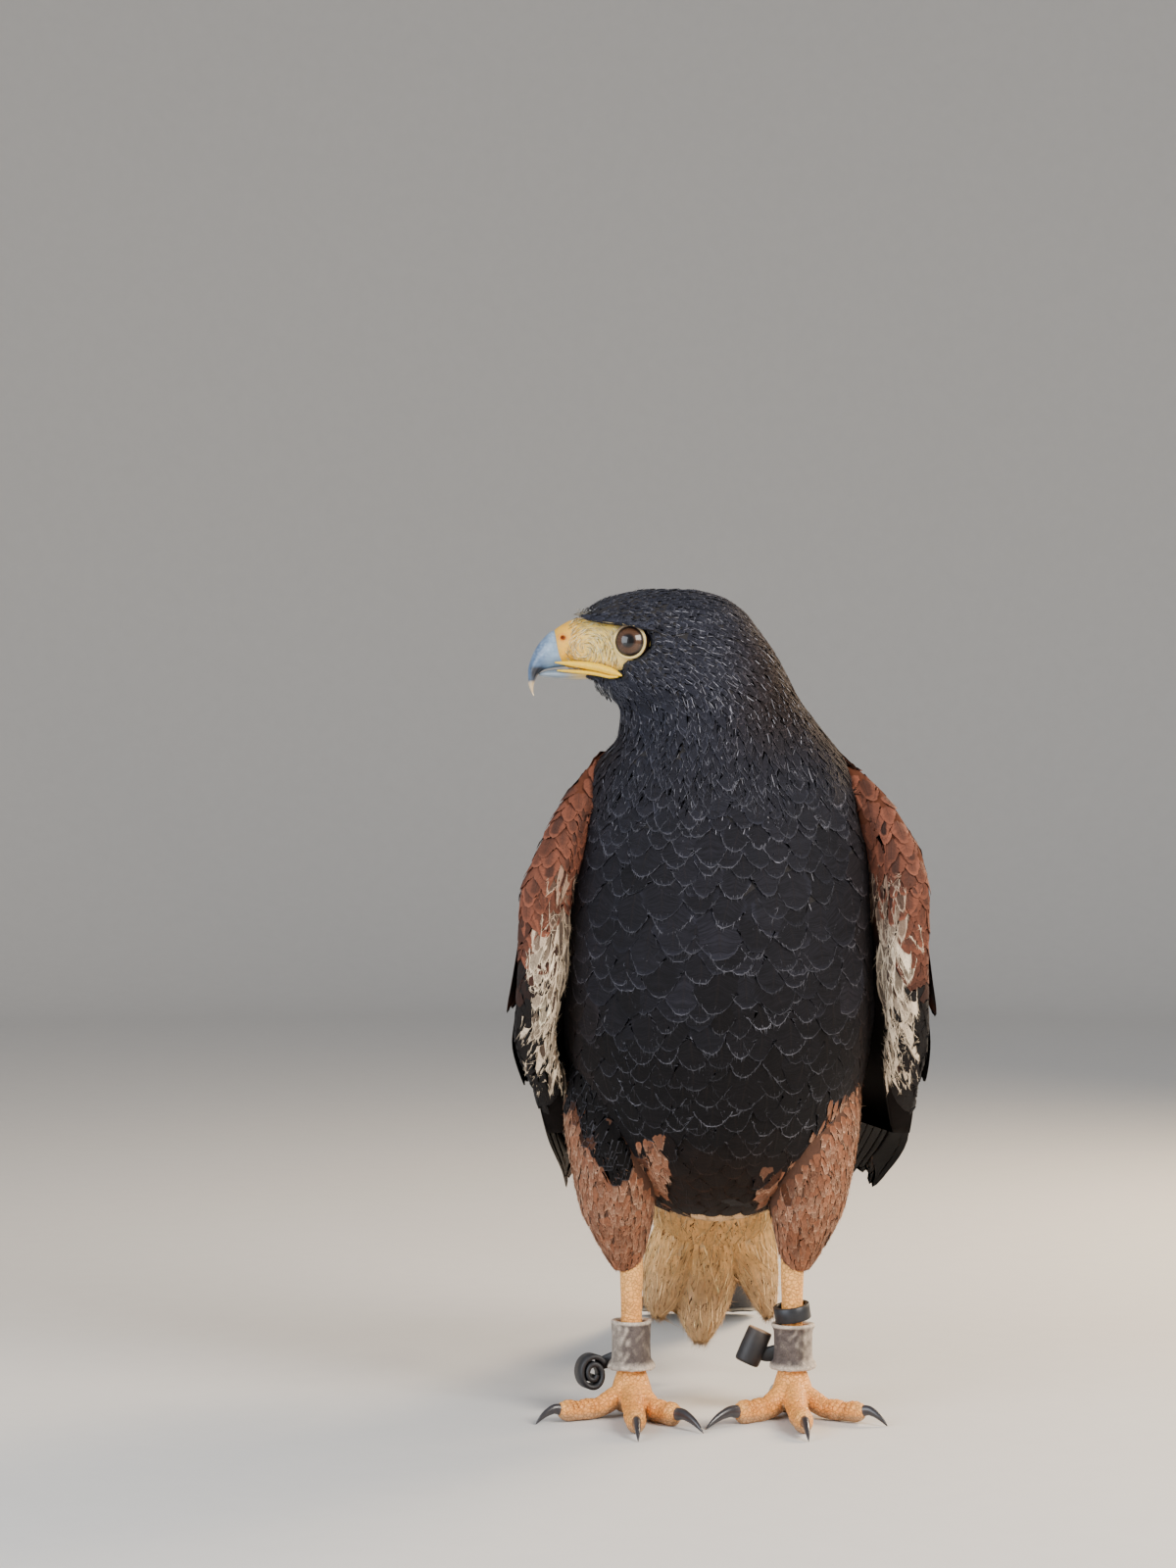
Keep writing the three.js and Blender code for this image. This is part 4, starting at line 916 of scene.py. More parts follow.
# Fine hairs and bristles. size is their length, width, lift and the height of their roots.
def hairs(name, tree, roots, lies, spot, colour, size, seed, spread, slotName):
    rng = np.random.default_rng(seed)
    count = len(roots)
    length, width, lift, base = size
    plan = {
        "length": length * rng.lognormal(0, 0.25, count), "width": width * rng.lognormal(0, 0.2, count), "sink": -base,
        "lift": lift * (0.5 + rng.random(count)), "roll": 0, "tipRound": 0.2, "ragged": 0.0,
    }
    shade = tint(colour, count, 0.12, rng, 1.0)
    shade[:, :3] *= rng.uniform(0.35, 1.3, (count, 1))
    colours = shades(shade, tint(colour, count, 0, rng, 0), tint(colour, count, 0, rng, 0))
    lies = lies + rng.normal(0, spread, (count, 3))
    coat(name, tree, roots, lies, spot, plan, colours, (5, 2, seed), barbMaterial, slotName)


# Head: the bare face from the bill to the eye, brows, eyes, lids and bill

def stationRings(stations, rows, count):
    keys = np.linspace(0, 1, len(stations))
    table = np.array([[*top, *bottom, half, power] for top, bottom, half, power in stations], float)
    t = np.linspace(0, 1, rows)
    xTop, zTop, xBottom, zBottom, half, power = (curve(*zip(keys, table[:, k]))(t)[:, None] for k in range(6))
    turn = around(count)[None]
    down = 0.5 - 0.5 * np.cos(turn)
    out = half * np.sign(np.sin(turn)) * np.abs(np.sin(turn)) ** power
    return stack(xTop + (xBottom - xTop) * down, headMiddle + out, zTop + (zBottom - zTop) * down)


# Stations along the face: top and bottom (x, z), half width and squareness.
faceStations = [
    ((-29, 359), (-33, 347), 18.4, 0.45), ((-36, 361.6), (-38, 342), 19.4, 0.45),
    ((-42, 363), (-44, 338.8), 19.0, 0.45), ((-48, 364.4), (-49, 338.4), 17.4, 0.5),
    ((-54, 365.4), (-54, 339.2), 14.8, 0.6), ((-60, 366.2), (-59.5, 340.6), 12.2, 0.72),
    ((-66, 365.4), (-64.5, 342.2), 10.4, 0.85), ((-71, 363.2), (-68.8, 343.6), 9.3, 0.95),
    ((-74.4, 361), (-71.6, 344), 8.6, 1.0), ((-75.3, 360.2), (-72.4, 344.2), 8.0, 1.0),
]
billStations = [
    ((-73.4, 360.4), (-70.4, 343.6), 7.8, 1), ((-76.4, 359.8), (-73, 343.4), 7.9, 1),
    ((-80, 357), (-76.6, 342.9), 7.2, 1), ((-83.6, 352.4), (-79.8, 342.2), 6.1, 1),
    ((-86.2, 346.8), (-82.2, 340.6), 4.7, 1), ((-87.4, 341.6), (-83.9, 337.6), 3.3, 1),
    ((-87.3, 336.8), (-84.9, 334.6), 2.1, 1), ((-86.3, 333), (-85, 332), 1.2, 1),
    ((-84.9, 330.3), (-84.5, 330.1), 0.4, 1),
]
lowerBillStations = [
    ((-55, 340.6), (-56, 338.2), 8, 0.8), ((-60, 341.4), (-61, 337.8), 8.6, 0.8),
    ((-67, 342.2), (-67.6, 337.6), 7.4, 0.8), ((-74, 342.3), (-74.4, 337.8), 6, 0.85),
    ((-80, 341.4), (-79.8, 338.6), 3.8, 0.9), ((-82.4, 340.4), (-82.2, 339.4), 1.6, 1),
]
browStops = [
    ((-62.4, 8.6, 366.2), 1.6, 0.8), ((-57, 12.4, 365), 2.0, 1.1), ((-51, 16.2, 364), 2.3, 1.25),
    ((-45, 19.4, 363.2), 2.5, 1.3), ((-39, 21.6, 362.2), 2.4, 1.3), ((-33, 22.6, 360.4), 2.0, 1.1),
    ((-27, 22.0, 357.6), 1.2, 0.8),
]
gapeStops = {
    "upper": [
        ((-75, 7.4, 345.2), 0.3, 0.3), ((-69, 9.5, 344.7), 1.0, 1.1), ((-62, 11.7, 343.9), 1.4, 1.6),
        ((-55, 14.6, 342.6), 1.6, 1.8), ((-49.5, 17.2, 340.8), 1.6, 1.6), ((-46.4, 18.8, 339.5), 1.2, 1.0),
        ((-44.8, 19.7, 338.8), 0.4, 0.3),
    ],
    "lower": [
        ((-74, 6.0, 341.6), 0.3, 0.3), ((-69, 7.9, 341.3), 0.7, 0.7), ((-62, 11.0, 340.7), 1.1, 0.9),
        ((-55, 14.0, 339.6), 1.3, 0.9), ((-49.8, 16.8, 338.4), 1.2, 0.8), ((-46.4, 18.9, 338.3), 0.5, 0.4),
    ],
}
faceColours = {
    "cere": (0.82, 0.43, 0.04), "lore": (0.86, 0.58, 0.12), "nearEye": (0.8, 0.57, 0.17),
    "nostril": (0.32, 0.07, 0.012), "gape": (0.92, 0.56, 0.02), "lid": (0.66, 0.5, 0.2), "lidShadow": (0.16, 0.11, 0.06),
    "browEdge": (0.66, 0.52, 0.26), "horn": (0.1, 0.17, 0.29), "hornPale": (0.24, 0.35, 0.48),
    "notchShadow": (0.02, 0.02, 0.025), "hornTip": (0.66, 0.5, 0.3), "lower": (0.24, 0.3, 0.36),
    "lowerBack": (0.6, 0.42, 0.14),
}
nostrilPlace = {"x": -71.4, "z": 356.4, "flat": 1.25}


def onSide(stops, side):
    return [((x, headMiddle - side * y, z), wide, high) for (x, y, z), wide, high in stops]


def brows():
    made = []
    for side in (1, -1):
        rings = pathRings(fineStops(onSide(browStops, side), 40), 20, (0, 1, 0))
        brow = roundPiece("brow_%s" % ("left" if side > 0 else "right"), rings, coatPlan["dark"])
        made.append(finishPiece(brow, downMaterial("brow_skin"), "dark_plumage"))
    return made


def fromNostril(points):
    return np.hypot(points[..., 0] - nostrilPlace["x"], (points[..., 2] - nostrilPlace["z"]) * nostrilPlace["flat"])


def face():
    skinSoft = plainMaterial("face_skin", {
        "grain": 900.0, "cells": 1400.0, "grooveShade": 0.12, "bump": 0.25, "depth": 0.0002, "roughness": 0.45,
        "dark": 0.88, "light": 1.1, "soft": 0.15,
    })
    horn = plainMaterial("horn", {
        "grain": 500.0, "stretch": (0.35, 1.0, 1.0), "bump": 0.12, "depth": 0.0002, "roughness": 0.3, "dark": 0.78,
        "light": 1.2, "coat": 0.25,
    })
    colours = faceColours

    rings = stationRings(faceStations, 110, 96)
    for side in (1, -1):
        sideMask = smooth(0, 1, -side * (rings[..., 1] - headMiddle))
        away = fromNostril(rings)
        hollow = 1.9 * np.exp(-((away / 1.15) ** 4)) - 0.35 * np.exp(-(((away - 1.9) / 0.7) ** 2))
        rings[..., 1] += side * sideMask * hollow
        lore = np.hypot((rings[..., 0] + 54) / 1.5, rings[..., 2] - 352)
        rings[..., 1] += side * sideMask * 1.1 * np.exp(-((lore / 5.5) ** 2))

    def paint(points, u, v):
        x, z = points[..., 0], points[..., 2]
        shade = blend(colours["lore"], colours["cere"], smooth(-57, -70, x) * smooth(341, 346, z))
        shade = blend(shade, colours["gape"], 0.5 * smooth(349, 345, z) * smooth(-44, -56, x))
        shade = blend(shade, colours["nearEye"], smooth(-50, -45, x))
        away = fromNostril(points)
        shade = blend(shade, (0.62, 0.25, 0.04), smooth(3.2, 1.6, away) * 0.8)
        # The nostril's opening is painted near-black: the shade inside it.
        return blend(shade, colours["nostril"], smooth(1.5, 0.9, away))

    mask = roundPiece("face", rings, paint)
    finishPiece(mask, skinSoft, "yellow_skin", ("cere",))

    def billPaint(points, u, v):
        x, z = points[..., 0], points[..., 2]
        shade = blend(colours["horn"], colours["hornPale"], smooth(-83, -76, x) * 0.7)
        shade = blend(shade, colours["hornPale"], smooth(346.5, 344, z) * smooth(-80, -76, x))
        # Patches of wear on the horn: the pale ones on the bill's top are partly painted highlight, and the dark ones
        # lie towards the hook.
        wornAndLit = 0.5 + 0.5 * np.sin(1.9 * x + 2 * np.sin(1.3 * z)) * np.sin(2.3 * z + 2 * np.sin(0.9 * x))
        shade = blend(shade, (0.4, 0.5, 0.6), 0.5 * wornAndLit**3 * smooth(345, 350, z))
        shade = blend(shade, (0.05, 0.09, 0.16), 0.5 * (1 - wornAndLit) ** 3 * smooth(-78, -82, x))
        # Painted shadow in the notch on the inner side of the hook.
        edge = smooth(344.5, 342.4, z) * smooth(-79, -81, x) * smooth(-87, -85.2, x)
        shade = blend(shade, colours["notchShadow"], edge * 0.95)
        shade = blend(shade, (0.07, 0.1, 0.15), 0.7 * smooth(340, 337, z))
        return blend(shade, colours["hornTip"], smooth(337.6, 335.6, z))

    upper = roundPiece("bill_top", stationRings(billStations, 90, 56), billPaint)
    finishPiece(upper, horn, "bill_horn", ("bill_upper",))

    def lowerPaint(points, u, v):
        return blend(colours["lower"], colours["lowerBack"], smooth(-72, -62, points[..., 0]))

    lower = roundPiece("bill_base", stationRings(lowerBillStations, 50, 40), lowerPaint)
    finishPiece(lower, horn, "bill_horn", ("bill_lower",))

    lips = []
    for side in (1, -1):
        for key, stops in gapeStops.items():
            rings = pathRings(fineStops(onSide(stops, side), 40), 16, (0, 1, 0))
            lips.append(roundPiece("gape_%s_%d" % (key, side), rings, colours["gape"]))
    finishPiece(joined("gape", lips), skinSoft, "yellow_skin")

    for side, name in ((1, "left"), (-1, "right")):
        axis = unit(np.array([-0.21, -side, 0.02]))
        forward = unit(np.cross(axis, (0, 0, 1.0)))
        rise = np.cross(forward, axis)
        centre = eyeCentre(side)
        angle = np.linspace(0.02, np.pi - 0.02, 64)[:, None]

        def onBall(radius, angle, turn, centre=centre, axis=axis, forward=forward, rise=rise):
            ahead = (radius * np.sin(angle) * np.cos(turn))[..., None] * forward
            above = (radius * np.sin(angle) * np.sin(turn))[..., None] * rise
            return centre + (radius * np.cos(angle))[..., None] * axis + ahead + above

        rings = onBall(eyePlan["radius"] + 0.35 * np.exp(-((angle / 0.5) ** 2)), angle, around(64)[None])

        def eyePaint(points, u, v, axis=axis, centre=centre, side=side):
            gaze = np.arccos(np.clip((unit(points - centre) * axis).sum(-1), -1, 1))
            spin = np.arctan2((points - centre)[..., 2], (points - centre)[..., 0])
            streak = 0.5 + 0.5 * np.sin(spin * 41 + 2 * np.sin(spin * 9))
            shade = blend((0.05, 0.022, 0.011), (0.1, 0.048, 0.024), streak * 0.6)
            shade = blend(shade, (0.012, 0.006, 0.004), smooth(0.64, 0.76, gaze))
            shade = blend(shade, (0.03, 0.013, 0.007), smooth(0.42, 0.36, gaze))
            return blend(shade, (0.002, 0.002, 0.003), smooth(0.33, 0.30, gaze))

        ball = roundPiece("eyeball_" + name, rings, eyePaint)
        glass = plainMaterial("eye_" + name + "_glass", {
            "grain": 900.0, "bump": 0.0, "roughness": 0.3, "gloss": 0.2, "coat": 0.7, "coatRoughness": 0.015,
            "dark": 0.9, "light": 1.1,
        })
        finishPiece(ball, glass, "eye", ("eye_" + name,))

        turn = np.arange(97) / 96 * 2 * np.pi
        opening = 0.985 - 0.035 * np.cos(2 * turn) - 0.02 * np.sin(turn)
        ringAngle = np.arcsin(eyePlan["ringRadius"] / eyePlan["radius"]) * opening
        path = onBall(eyePlan["lidRadius"], ringAngle, turn)
        along = unit(np.gradient(path, axis=0))
        along[0] = along[-1] = unit(path[1] - path[-2])
        outward = unit(path - centre)
        across = np.cross(along, outward)
        a = around(14)
        wide = (0.78 + 0.12 * np.cos(turn - 0.4))[:, None, None]
        beside = across[:, None] * (wide[..., 0] * np.cos(a))[..., None]
        lid = path[:, None] + beside + outward[:, None] * (0.62 * np.sin(a) + 0.1)[None, :, None]
        # The lid's top is painted darker: the shadow of the brow over it.
        top = smooth(0.35, 0.8, np.sin(turn))
        tone = np.repeat(blend(colours["lid"], colours["lidShadow"], top)[:, None], 14, 1)
        inner = np.broadcast_to(smooth(0.5, 0.95, -np.cos(a)), tone.shape[:2])
        tone = blend(tone, (0.05, 0.03, 0.018), inner * 0.85)
        finishPiece(roundPiece("lid_" + name, lid, lambda points, u, v, tone=tone: tone), skinSoft, "yellow_skin")

        edge = [((x, y + 1.3, z - 0.95), 0.55, 0.4) for (x, y, z), _, _ in browStops[1:5]]
        rings = pathRings(fineStops(onSide(edge, side), 30), 12, (0, 1, 0))
        finishPiece(roundPiece("brow_edge_" + name, rings, colours["browEdge"]), skinSoft, "yellow_skin")
    return mask, lower


bristlePlan = {  # size is their length, width, lift and the height of their roots
    "lore": {"count": 900, "size": (2.4, 0.13, 0.3, 0.05), "pale": (0.9, 0.78, 0.48), "dark": (0.25, 0.15, 0.05)},
    "forehead": {"count": 80, "size": (5.4, 0.17, 3.2, 0.1), "pale": (0.9, 0.87, 0.8)},
    "chin": {"count": 80, "size": (5.0, 0.12, 2.0, 0.1), "pale": (0.75, 0.75, 0.76)},
}


# Bristles: in whirls between the bill and the eye, in a tuft over the bill, and under the jaw.
def faceHairs(mask, skin):
    rng = np.random.default_rng(5)
    tree = treeOf(mask)
    plan = bristlePlan["lore"]
    sets = []
    for side in (1, -1):
        x = rng.uniform(-69, -45, plan["count"])
        z = rng.uniform(344, 365, plan["count"])
        keep = insideOutline(x, z, bareFace) & (np.hypot(x - eyePlan["x"], z - eyePlan["z"]) > eyePlan["radius"])
        keep &= np.hypot(x - nostrilPlace["x"], z - nostrilPlace["z"]) > 3.2
        roots = stack(x, headMiddle - side * 30, z)[keep]
        for k, root in enumerate(roots):
            hit = tree.ray_cast(root, (0, side, 0))[0]
            roots[k] = hit if hit is not None else root
        away = roots - np.array([-57.5, 0, 357])
        sets.append((roots, unit(stack(0.6 + 0.09 * away[:, 2], 0 * away[:, 0], -0.35 - 0.09 * away[:, 0]))))
    roots, lies = (np.concatenate([item[k] for item in sets]) for k in (0, 1))
    level = (roots[:, 2] - 342) / 24 * 0.48 + 0.5 * (roots[:, 1] > headMiddle)
    spot = bakeSpot("hairs", (roots[:, 0] + 70) / 26, level)
    for key, pick in (("pale", rng.random(len(roots)) < 0.6), ("dark", rng.random(len(roots)) < 0.3)):
        own = (roots[pick], lies[pick], spot[pick], plan[key], plan["size"])
        hairs("lore_bristles_" + key, tree, *own, 21, 0.15, "pale_plumage")

    plan = bristlePlan["forehead"]
    roots = stack(rng.uniform(-65, -58, plan["count"]), headMiddle + rng.normal(0, 4, plan["count"]), 367)
    lies = np.array([0.25, 0, 0.4]) + rng.normal(0, 0.3, (plan["count"], 3))
    spot = bakeSpot("bristles", (roots[:, 0] + 66) / 20, 0.25 + (roots[:, 1] - headMiddle) / 60)
    hairs("forehead_bristles", tree, roots, lies, spot, plan["pale"], plan["size"], 22, 0.3, "pale_plumage")

    plan = bristlePlan["chin"]
    roots = stack(rng.uniform(-72, -50, plan["count"]), headMiddle + rng.normal(0, 6, plan["count"]), 334)
    lies = np.array([0.5, 0, -0.7]) + rng.normal(0, 0.3, (plan["count"], 3))
    spot = bakeSpot("bristles", (roots[:, 0] + 72) / 28, 0.75 + (roots[:, 1] - headMiddle) / 90)
    tree = treeOf(mask, skin)
    hairs("chin_bristles", tree, roots, lies, spot, plan["pale"], plan["size"], 23, 0.3, "pale_plumage")


skin = bodySkin()
finishPiece(skin, downMaterial(), "dark_plumage", ("head", "neck", "torso"))
ridges = brows()
darkFeathers = bodyCoat(skin, ridges)
print("body coat ready")
mask, lowerBill = face()
chinCoat(darkFeathers, treeOf(mask, lowerBill, skin))
faceHairs(mask, skin)
print("face ready")


# Long feathers, laid one by one on a surface of two parameters

shaftColumns = np.array([-1, -0.82, -0.6, -0.35, -0.09, 0, 0.09, 0.35, 0.6, 0.82, 1])


# surface(p, q) gives points; steps are the small steps in p and q; outward is 1 where p x q faces out.
def laidVanes(name, surface, steps, outward, feathers, cell, rows, seed):
    rng = np.random.default_rng(seed)
    s = shaftColumns
    t = np.linspace(0, 1, rows + 1) ** 0.9
    grids = {"points": [], "under": [], "rim": [], "facing": []}
    for feather in feathers:
        p = feather["root"][0] + (feather["tip"][0] - feather["root"][0]) * t
        q = feather["root"][1] + (feather["tip"][1] - feather["root"][1]) * t
        at = surface(p, q)
        alongP = (surface(p + steps[0], q) - at) / steps[0]
        alongQ = (surface(p, q + steps[1]) - at) / steps[1]
        forward = unit(np.gradient(at, axis=0))
        normal = unit(np.cross(alongP, alongQ)) * outward
        side = unit(np.cross(normal, forward))
        pp, qq, pq = (alongP**2).sum(-1), (alongQ**2).sum(-1), (alongP * alongQ).sum(-1)
        sp, sq = (side * alongP).sum(-1), (side * alongQ).sum(-1)
        det = pp * qq - pq * pq
        length = np.linalg.norm(np.diff(at, axis=0), axis=-1).sum()
        blunt = feather.get("blunt", 0.5)
        half = feather["width"] / 2 * np.minimum(1, 0.5 + 1.2 * t)
        end = blunt * feather["width"] / length
        half = half * np.sqrt(1 - np.clip((t - 1 + end) / (end + 0.004), 0, 0.99) ** 2)
        wave = 1 + 0.02 * np.interp(t, np.linspace(0, 1, 9), rng.normal(0, 1, 9))
        reach = (half * wave)[:, None] * (s + feather.get("shaft", 0) * (1 - s**2))[None]
        reach += 0.5 * rng.normal(0, 1) * t[:, None] ** 2
        points = surface(
            p[:, None] + reach * ((sp * qq - sq * pq) / det)[:, None],
            q[:, None] + reach * ((sq * pp - sp * pq) / det)[:, None],
        )
        lift = feather["lift"][0] + (feather["lift"][1] - feather["lift"][0]) * t
        camber = feather.get("camber", 0.09) * half[:, None] * (1 - s**2)
        ridge = 0.32 * (1 - 0.7 * t)[:, None] * np.exp(-((s / 0.06) ** 2))
        height = lift[:, None] + feather.get("roll", 0) * half[:, None] * s + camber + ridge
        grids["points"].append(points + normal[:, None] * height[..., None])
        grids["facing"].append(np.broadcast_to(normal[:, None], points.shape))
        thick = (0.26 * (1 - s**2) + 0.5 * np.exp(-((s / 0.06) ** 2)))[None] * (1 - 0.75 * t)[:, None] + 0.06
        grids["under"].append(grids["points"][-1] - normal[:, None] * thick[..., None])
        edge = np.minimum(half[:, None] * (1 - np.abs(s)), length * (1 - t)[:, None])
        grids["rim"].append(edge + feather["width"] * 0.4 * np.clip(1 - 2.2 * t, 0, 1)[:, None])
    keys = ("baseColour", "coreColour", "fringeColour")
    colours = {key: np.stack([feather[key] for feather in feathers]) for key in keys}
    count = len(feathers)
    wide = int(np.ceil(np.sqrt(count * 3)))
    x, y, cellWide, cellHigh = bakeCells[cell]
    k = np.arange(count)
    high = int(np.ceil(count / wide))
    uvRoot = np.stack([x + (k % wide + 0.5) / wide * cellWide, y + (k // wide + 0.5) / high * cellHigh], -1)
    patch = (0.9 * cellWide / wide, 0.9 * cellHigh / high)
    points, under, rim, facing = (np.array(grids[key]) for key in ("points", "under", "rim", "facing"))
    return vanesMesh(name, points, under, rim, uvRoot, colours, facing, 0.35, patch)


# Folded wings: the outside by height, then a roll round the front edge and in towards the body

wingShape = {
    "front": curve(
        (58, 206), (78, 145), (95, 88), (115, 38), (140, 2), (170, -20), (205, -34), (240, -37), (270, -28),
        (307, -4),
    ),
    "back": curve(
        (58, 216), (78, 206), (95, 188), (115, 165), (140, 135), (170, 106), (205, 84), (240, 67), (270, 53),
        (307, 31),
    ),
    "left": curve(
        (58, 62), (80, 70), (100, 82), (124, 91.5), (150, 92.5), (175, 95.8), (205, 94.7), (240, 95), (258, 92.5),
        (270, 86.5), (286, 76.5), (298, 64), (307, 52),
    ),
    "right": curve(
        (58, 64), (100, 71), (124, 80), (150, 87), (175, 95), (205, 93.5), (240, 92.5), (258, 86), (270, 80.5),
        (286, 71.5), (298, 62), (307, 52),
    ),
    "wrap": curve(
        (58, 0.97), (78, 0.84), (95, 0.66), (115, 0.42), (140, 0.22), (170, 0.13), (205, 0.1), (240, 0.12),
        (270, 0.22), (307, 0.5),
    ),
    "hug": 1.3,
    "rollWide": curve((110, 3), (140, 8), (170, 11), (250, 11), (285, 8), (307, 3)),
    "rollHigh": curve((110, 1), (150, 4), (190, 7), (270, 7), (307, 1)),
    "thick": curve((-0.42, 2), (-0.3, 9), (0, 16), (0.1, 21), (0.3, 23), (0.6, 15), (1, 5)),
    "thinner": curve((140, 0.12), (170, 0.7), (205, 1), (266, 1), (306, 0.5)),
    "coatDepth": 2.6,
}


def wingPoint(sideName, share, z):
    share, z = np.broadcast_arrays(np.asarray(share, float), np.asarray(z, float))
    turn = np.clip(share, 0, 1.2) * np.pi / 2
    out, wrap, front = wingShape[sideName](z), wingShape["wrap"](z), wingShape["front"](z)
    cosine = np.cos(turn)
    x = out * (wrap + (1 - wrap) * np.sign(cosine) * np.abs(cosine) ** wingShape["hug"])
    y = front + (wingShape["back"](z) - front) * np.sin(turn)
    roll = np.clip(-share / 0.3, 0, 1) * np.pi
    x = x - wingShape["rollWide"](z) * (1 - np.cos(roll))
    y = y - wingShape["rollHigh"](z) * np.sin(roll) + np.clip(-share - 0.3, 0, 1) * 100
    return stack(sideSign[sideName] * x, y, z)


def wingSkin(sideName):
    heights = np.linspace(128, 305, 64)
    shares = np.concatenate([np.linspace(-0.42, 0, 22), np.linspace(0.02, 1, 40)])
    zz, ww = np.meshgrid(heights, shares, indexing="ij")
    outside = wingPoint(sideName, ww, zz)
    ahead = unit(wingPoint(sideName, ww + 0.004, zz) - outside)
    inward = stack(-ahead[..., 1], ahead[..., 0], 0 * zz) * sideSign[sideName]
    edge = np.minimum(1, (1 - np.abs(2 * (ww + 0.42) / 1.42 - 1)) * 12)
    sunk = outside + inward * wingShape["coatDepth"]
    inner = sunk + inward * (wingShape["thick"](ww) * wingShape["thinner"](zz) * edge)[..., None]
    rings = np.concatenate([sunk, inner[:, ::-1]], 1)
    points, quads, u, v = tubeMesh(rings)
    share = np.concatenate([ww, ww[:, ::-1]], 1)
    share = np.concatenate([share, share[:, :1]], 1)
    share = np.concatenate([share[:1], share, share[-1:]]).ravel()
    lining = smooth(-0.12, -0.2, share) * smooth(262, 240, points[:, 2]) * smooth(150, 162, points[:, 2])
    paint = blend(blend(wingLook["dark"], wingLook["deep"], smooth(215, 240, points[:, 2])), wingLook["down"], lining)
    spot = bakeSpot("wing_" + sideName, u, v)
    return weld(meshOf("wing_skin_" + sideName, points, quads, {"OFBake": spot}, {"baseColour": opaque(paint)}))


wingLook = {
    "chestnut": (0.16, 0.052, 0.029),
    "chestnutPale": (0.28, 0.125, 0.08),
    "centre": (0.045, 0.017, 0.011),
    "deep": (0.09, 0.03, 0.016),
    "down": (0.22, 0.16, 0.11),
    "dark": (0.006, 0.0045, 0.0042),
    "brown": (0.018, 0.0105, 0.008),
    "cream": (0.74, 0.6, 0.44),
    "blotch": (0.035, 0.016, 0.011),
    "edge": (0.2, 0.12, 0.08),
    "shoulderSpacing": 4.3,
    "liningSpacing": 4.6,
}

# Tiers of long feathers. Roots and tips are a share round the wing and a height, first to last.
wingTiers = [
    {"name": "primaries", "count": 7, "root": ((0.12, 178), (0.42, 166)), "tip": ((0.44, 104), (0.86, 71)),
     "width": 21, "lift": (-6, -1.0), "shaft": -0.35, "base": "dark", "fringe": 0.8},
    {"name": "secondaries", "count": 10, "root": ((0.13, 206), (0.78, 214)), "tip": ((0.19, 97), (0.86, 108)),
     "width": 25, "lift": (-5.4, 0.4), "shaft": -0.2, "base": "dark", "fringe": 0.9},
    {"name": "tertials", "count": 4, "root": ((0.72, 238), (0.94, 244)), "tip": ((0.76, 134), (0.97, 152)),
     "width": 28, "lift": (-5.4, 3.0), "shaft": 0, "base": "brown", "fringe": 0.8},
    {"name": "greater_coverts", "count": 12, "root": ((0.08, 212), (0.66, 230)), "tip": ((0.08, 152), (0.7, 168)),
     "width": 19, "lift": (-5.4, 1.6), "shaft": -0.1, "base": "dark", "fringe": 0.8},
    {"name": "median_coverts", "count": 15, "root": ((0.08, 240), (0.84, 260)), "tip": ((0.08, 186), (0.86, 210)),
     "width": 17, "lift": (-5.4, 2.4), "shaft": 0, "base": "chestnut", "fringe": 1.0},
]


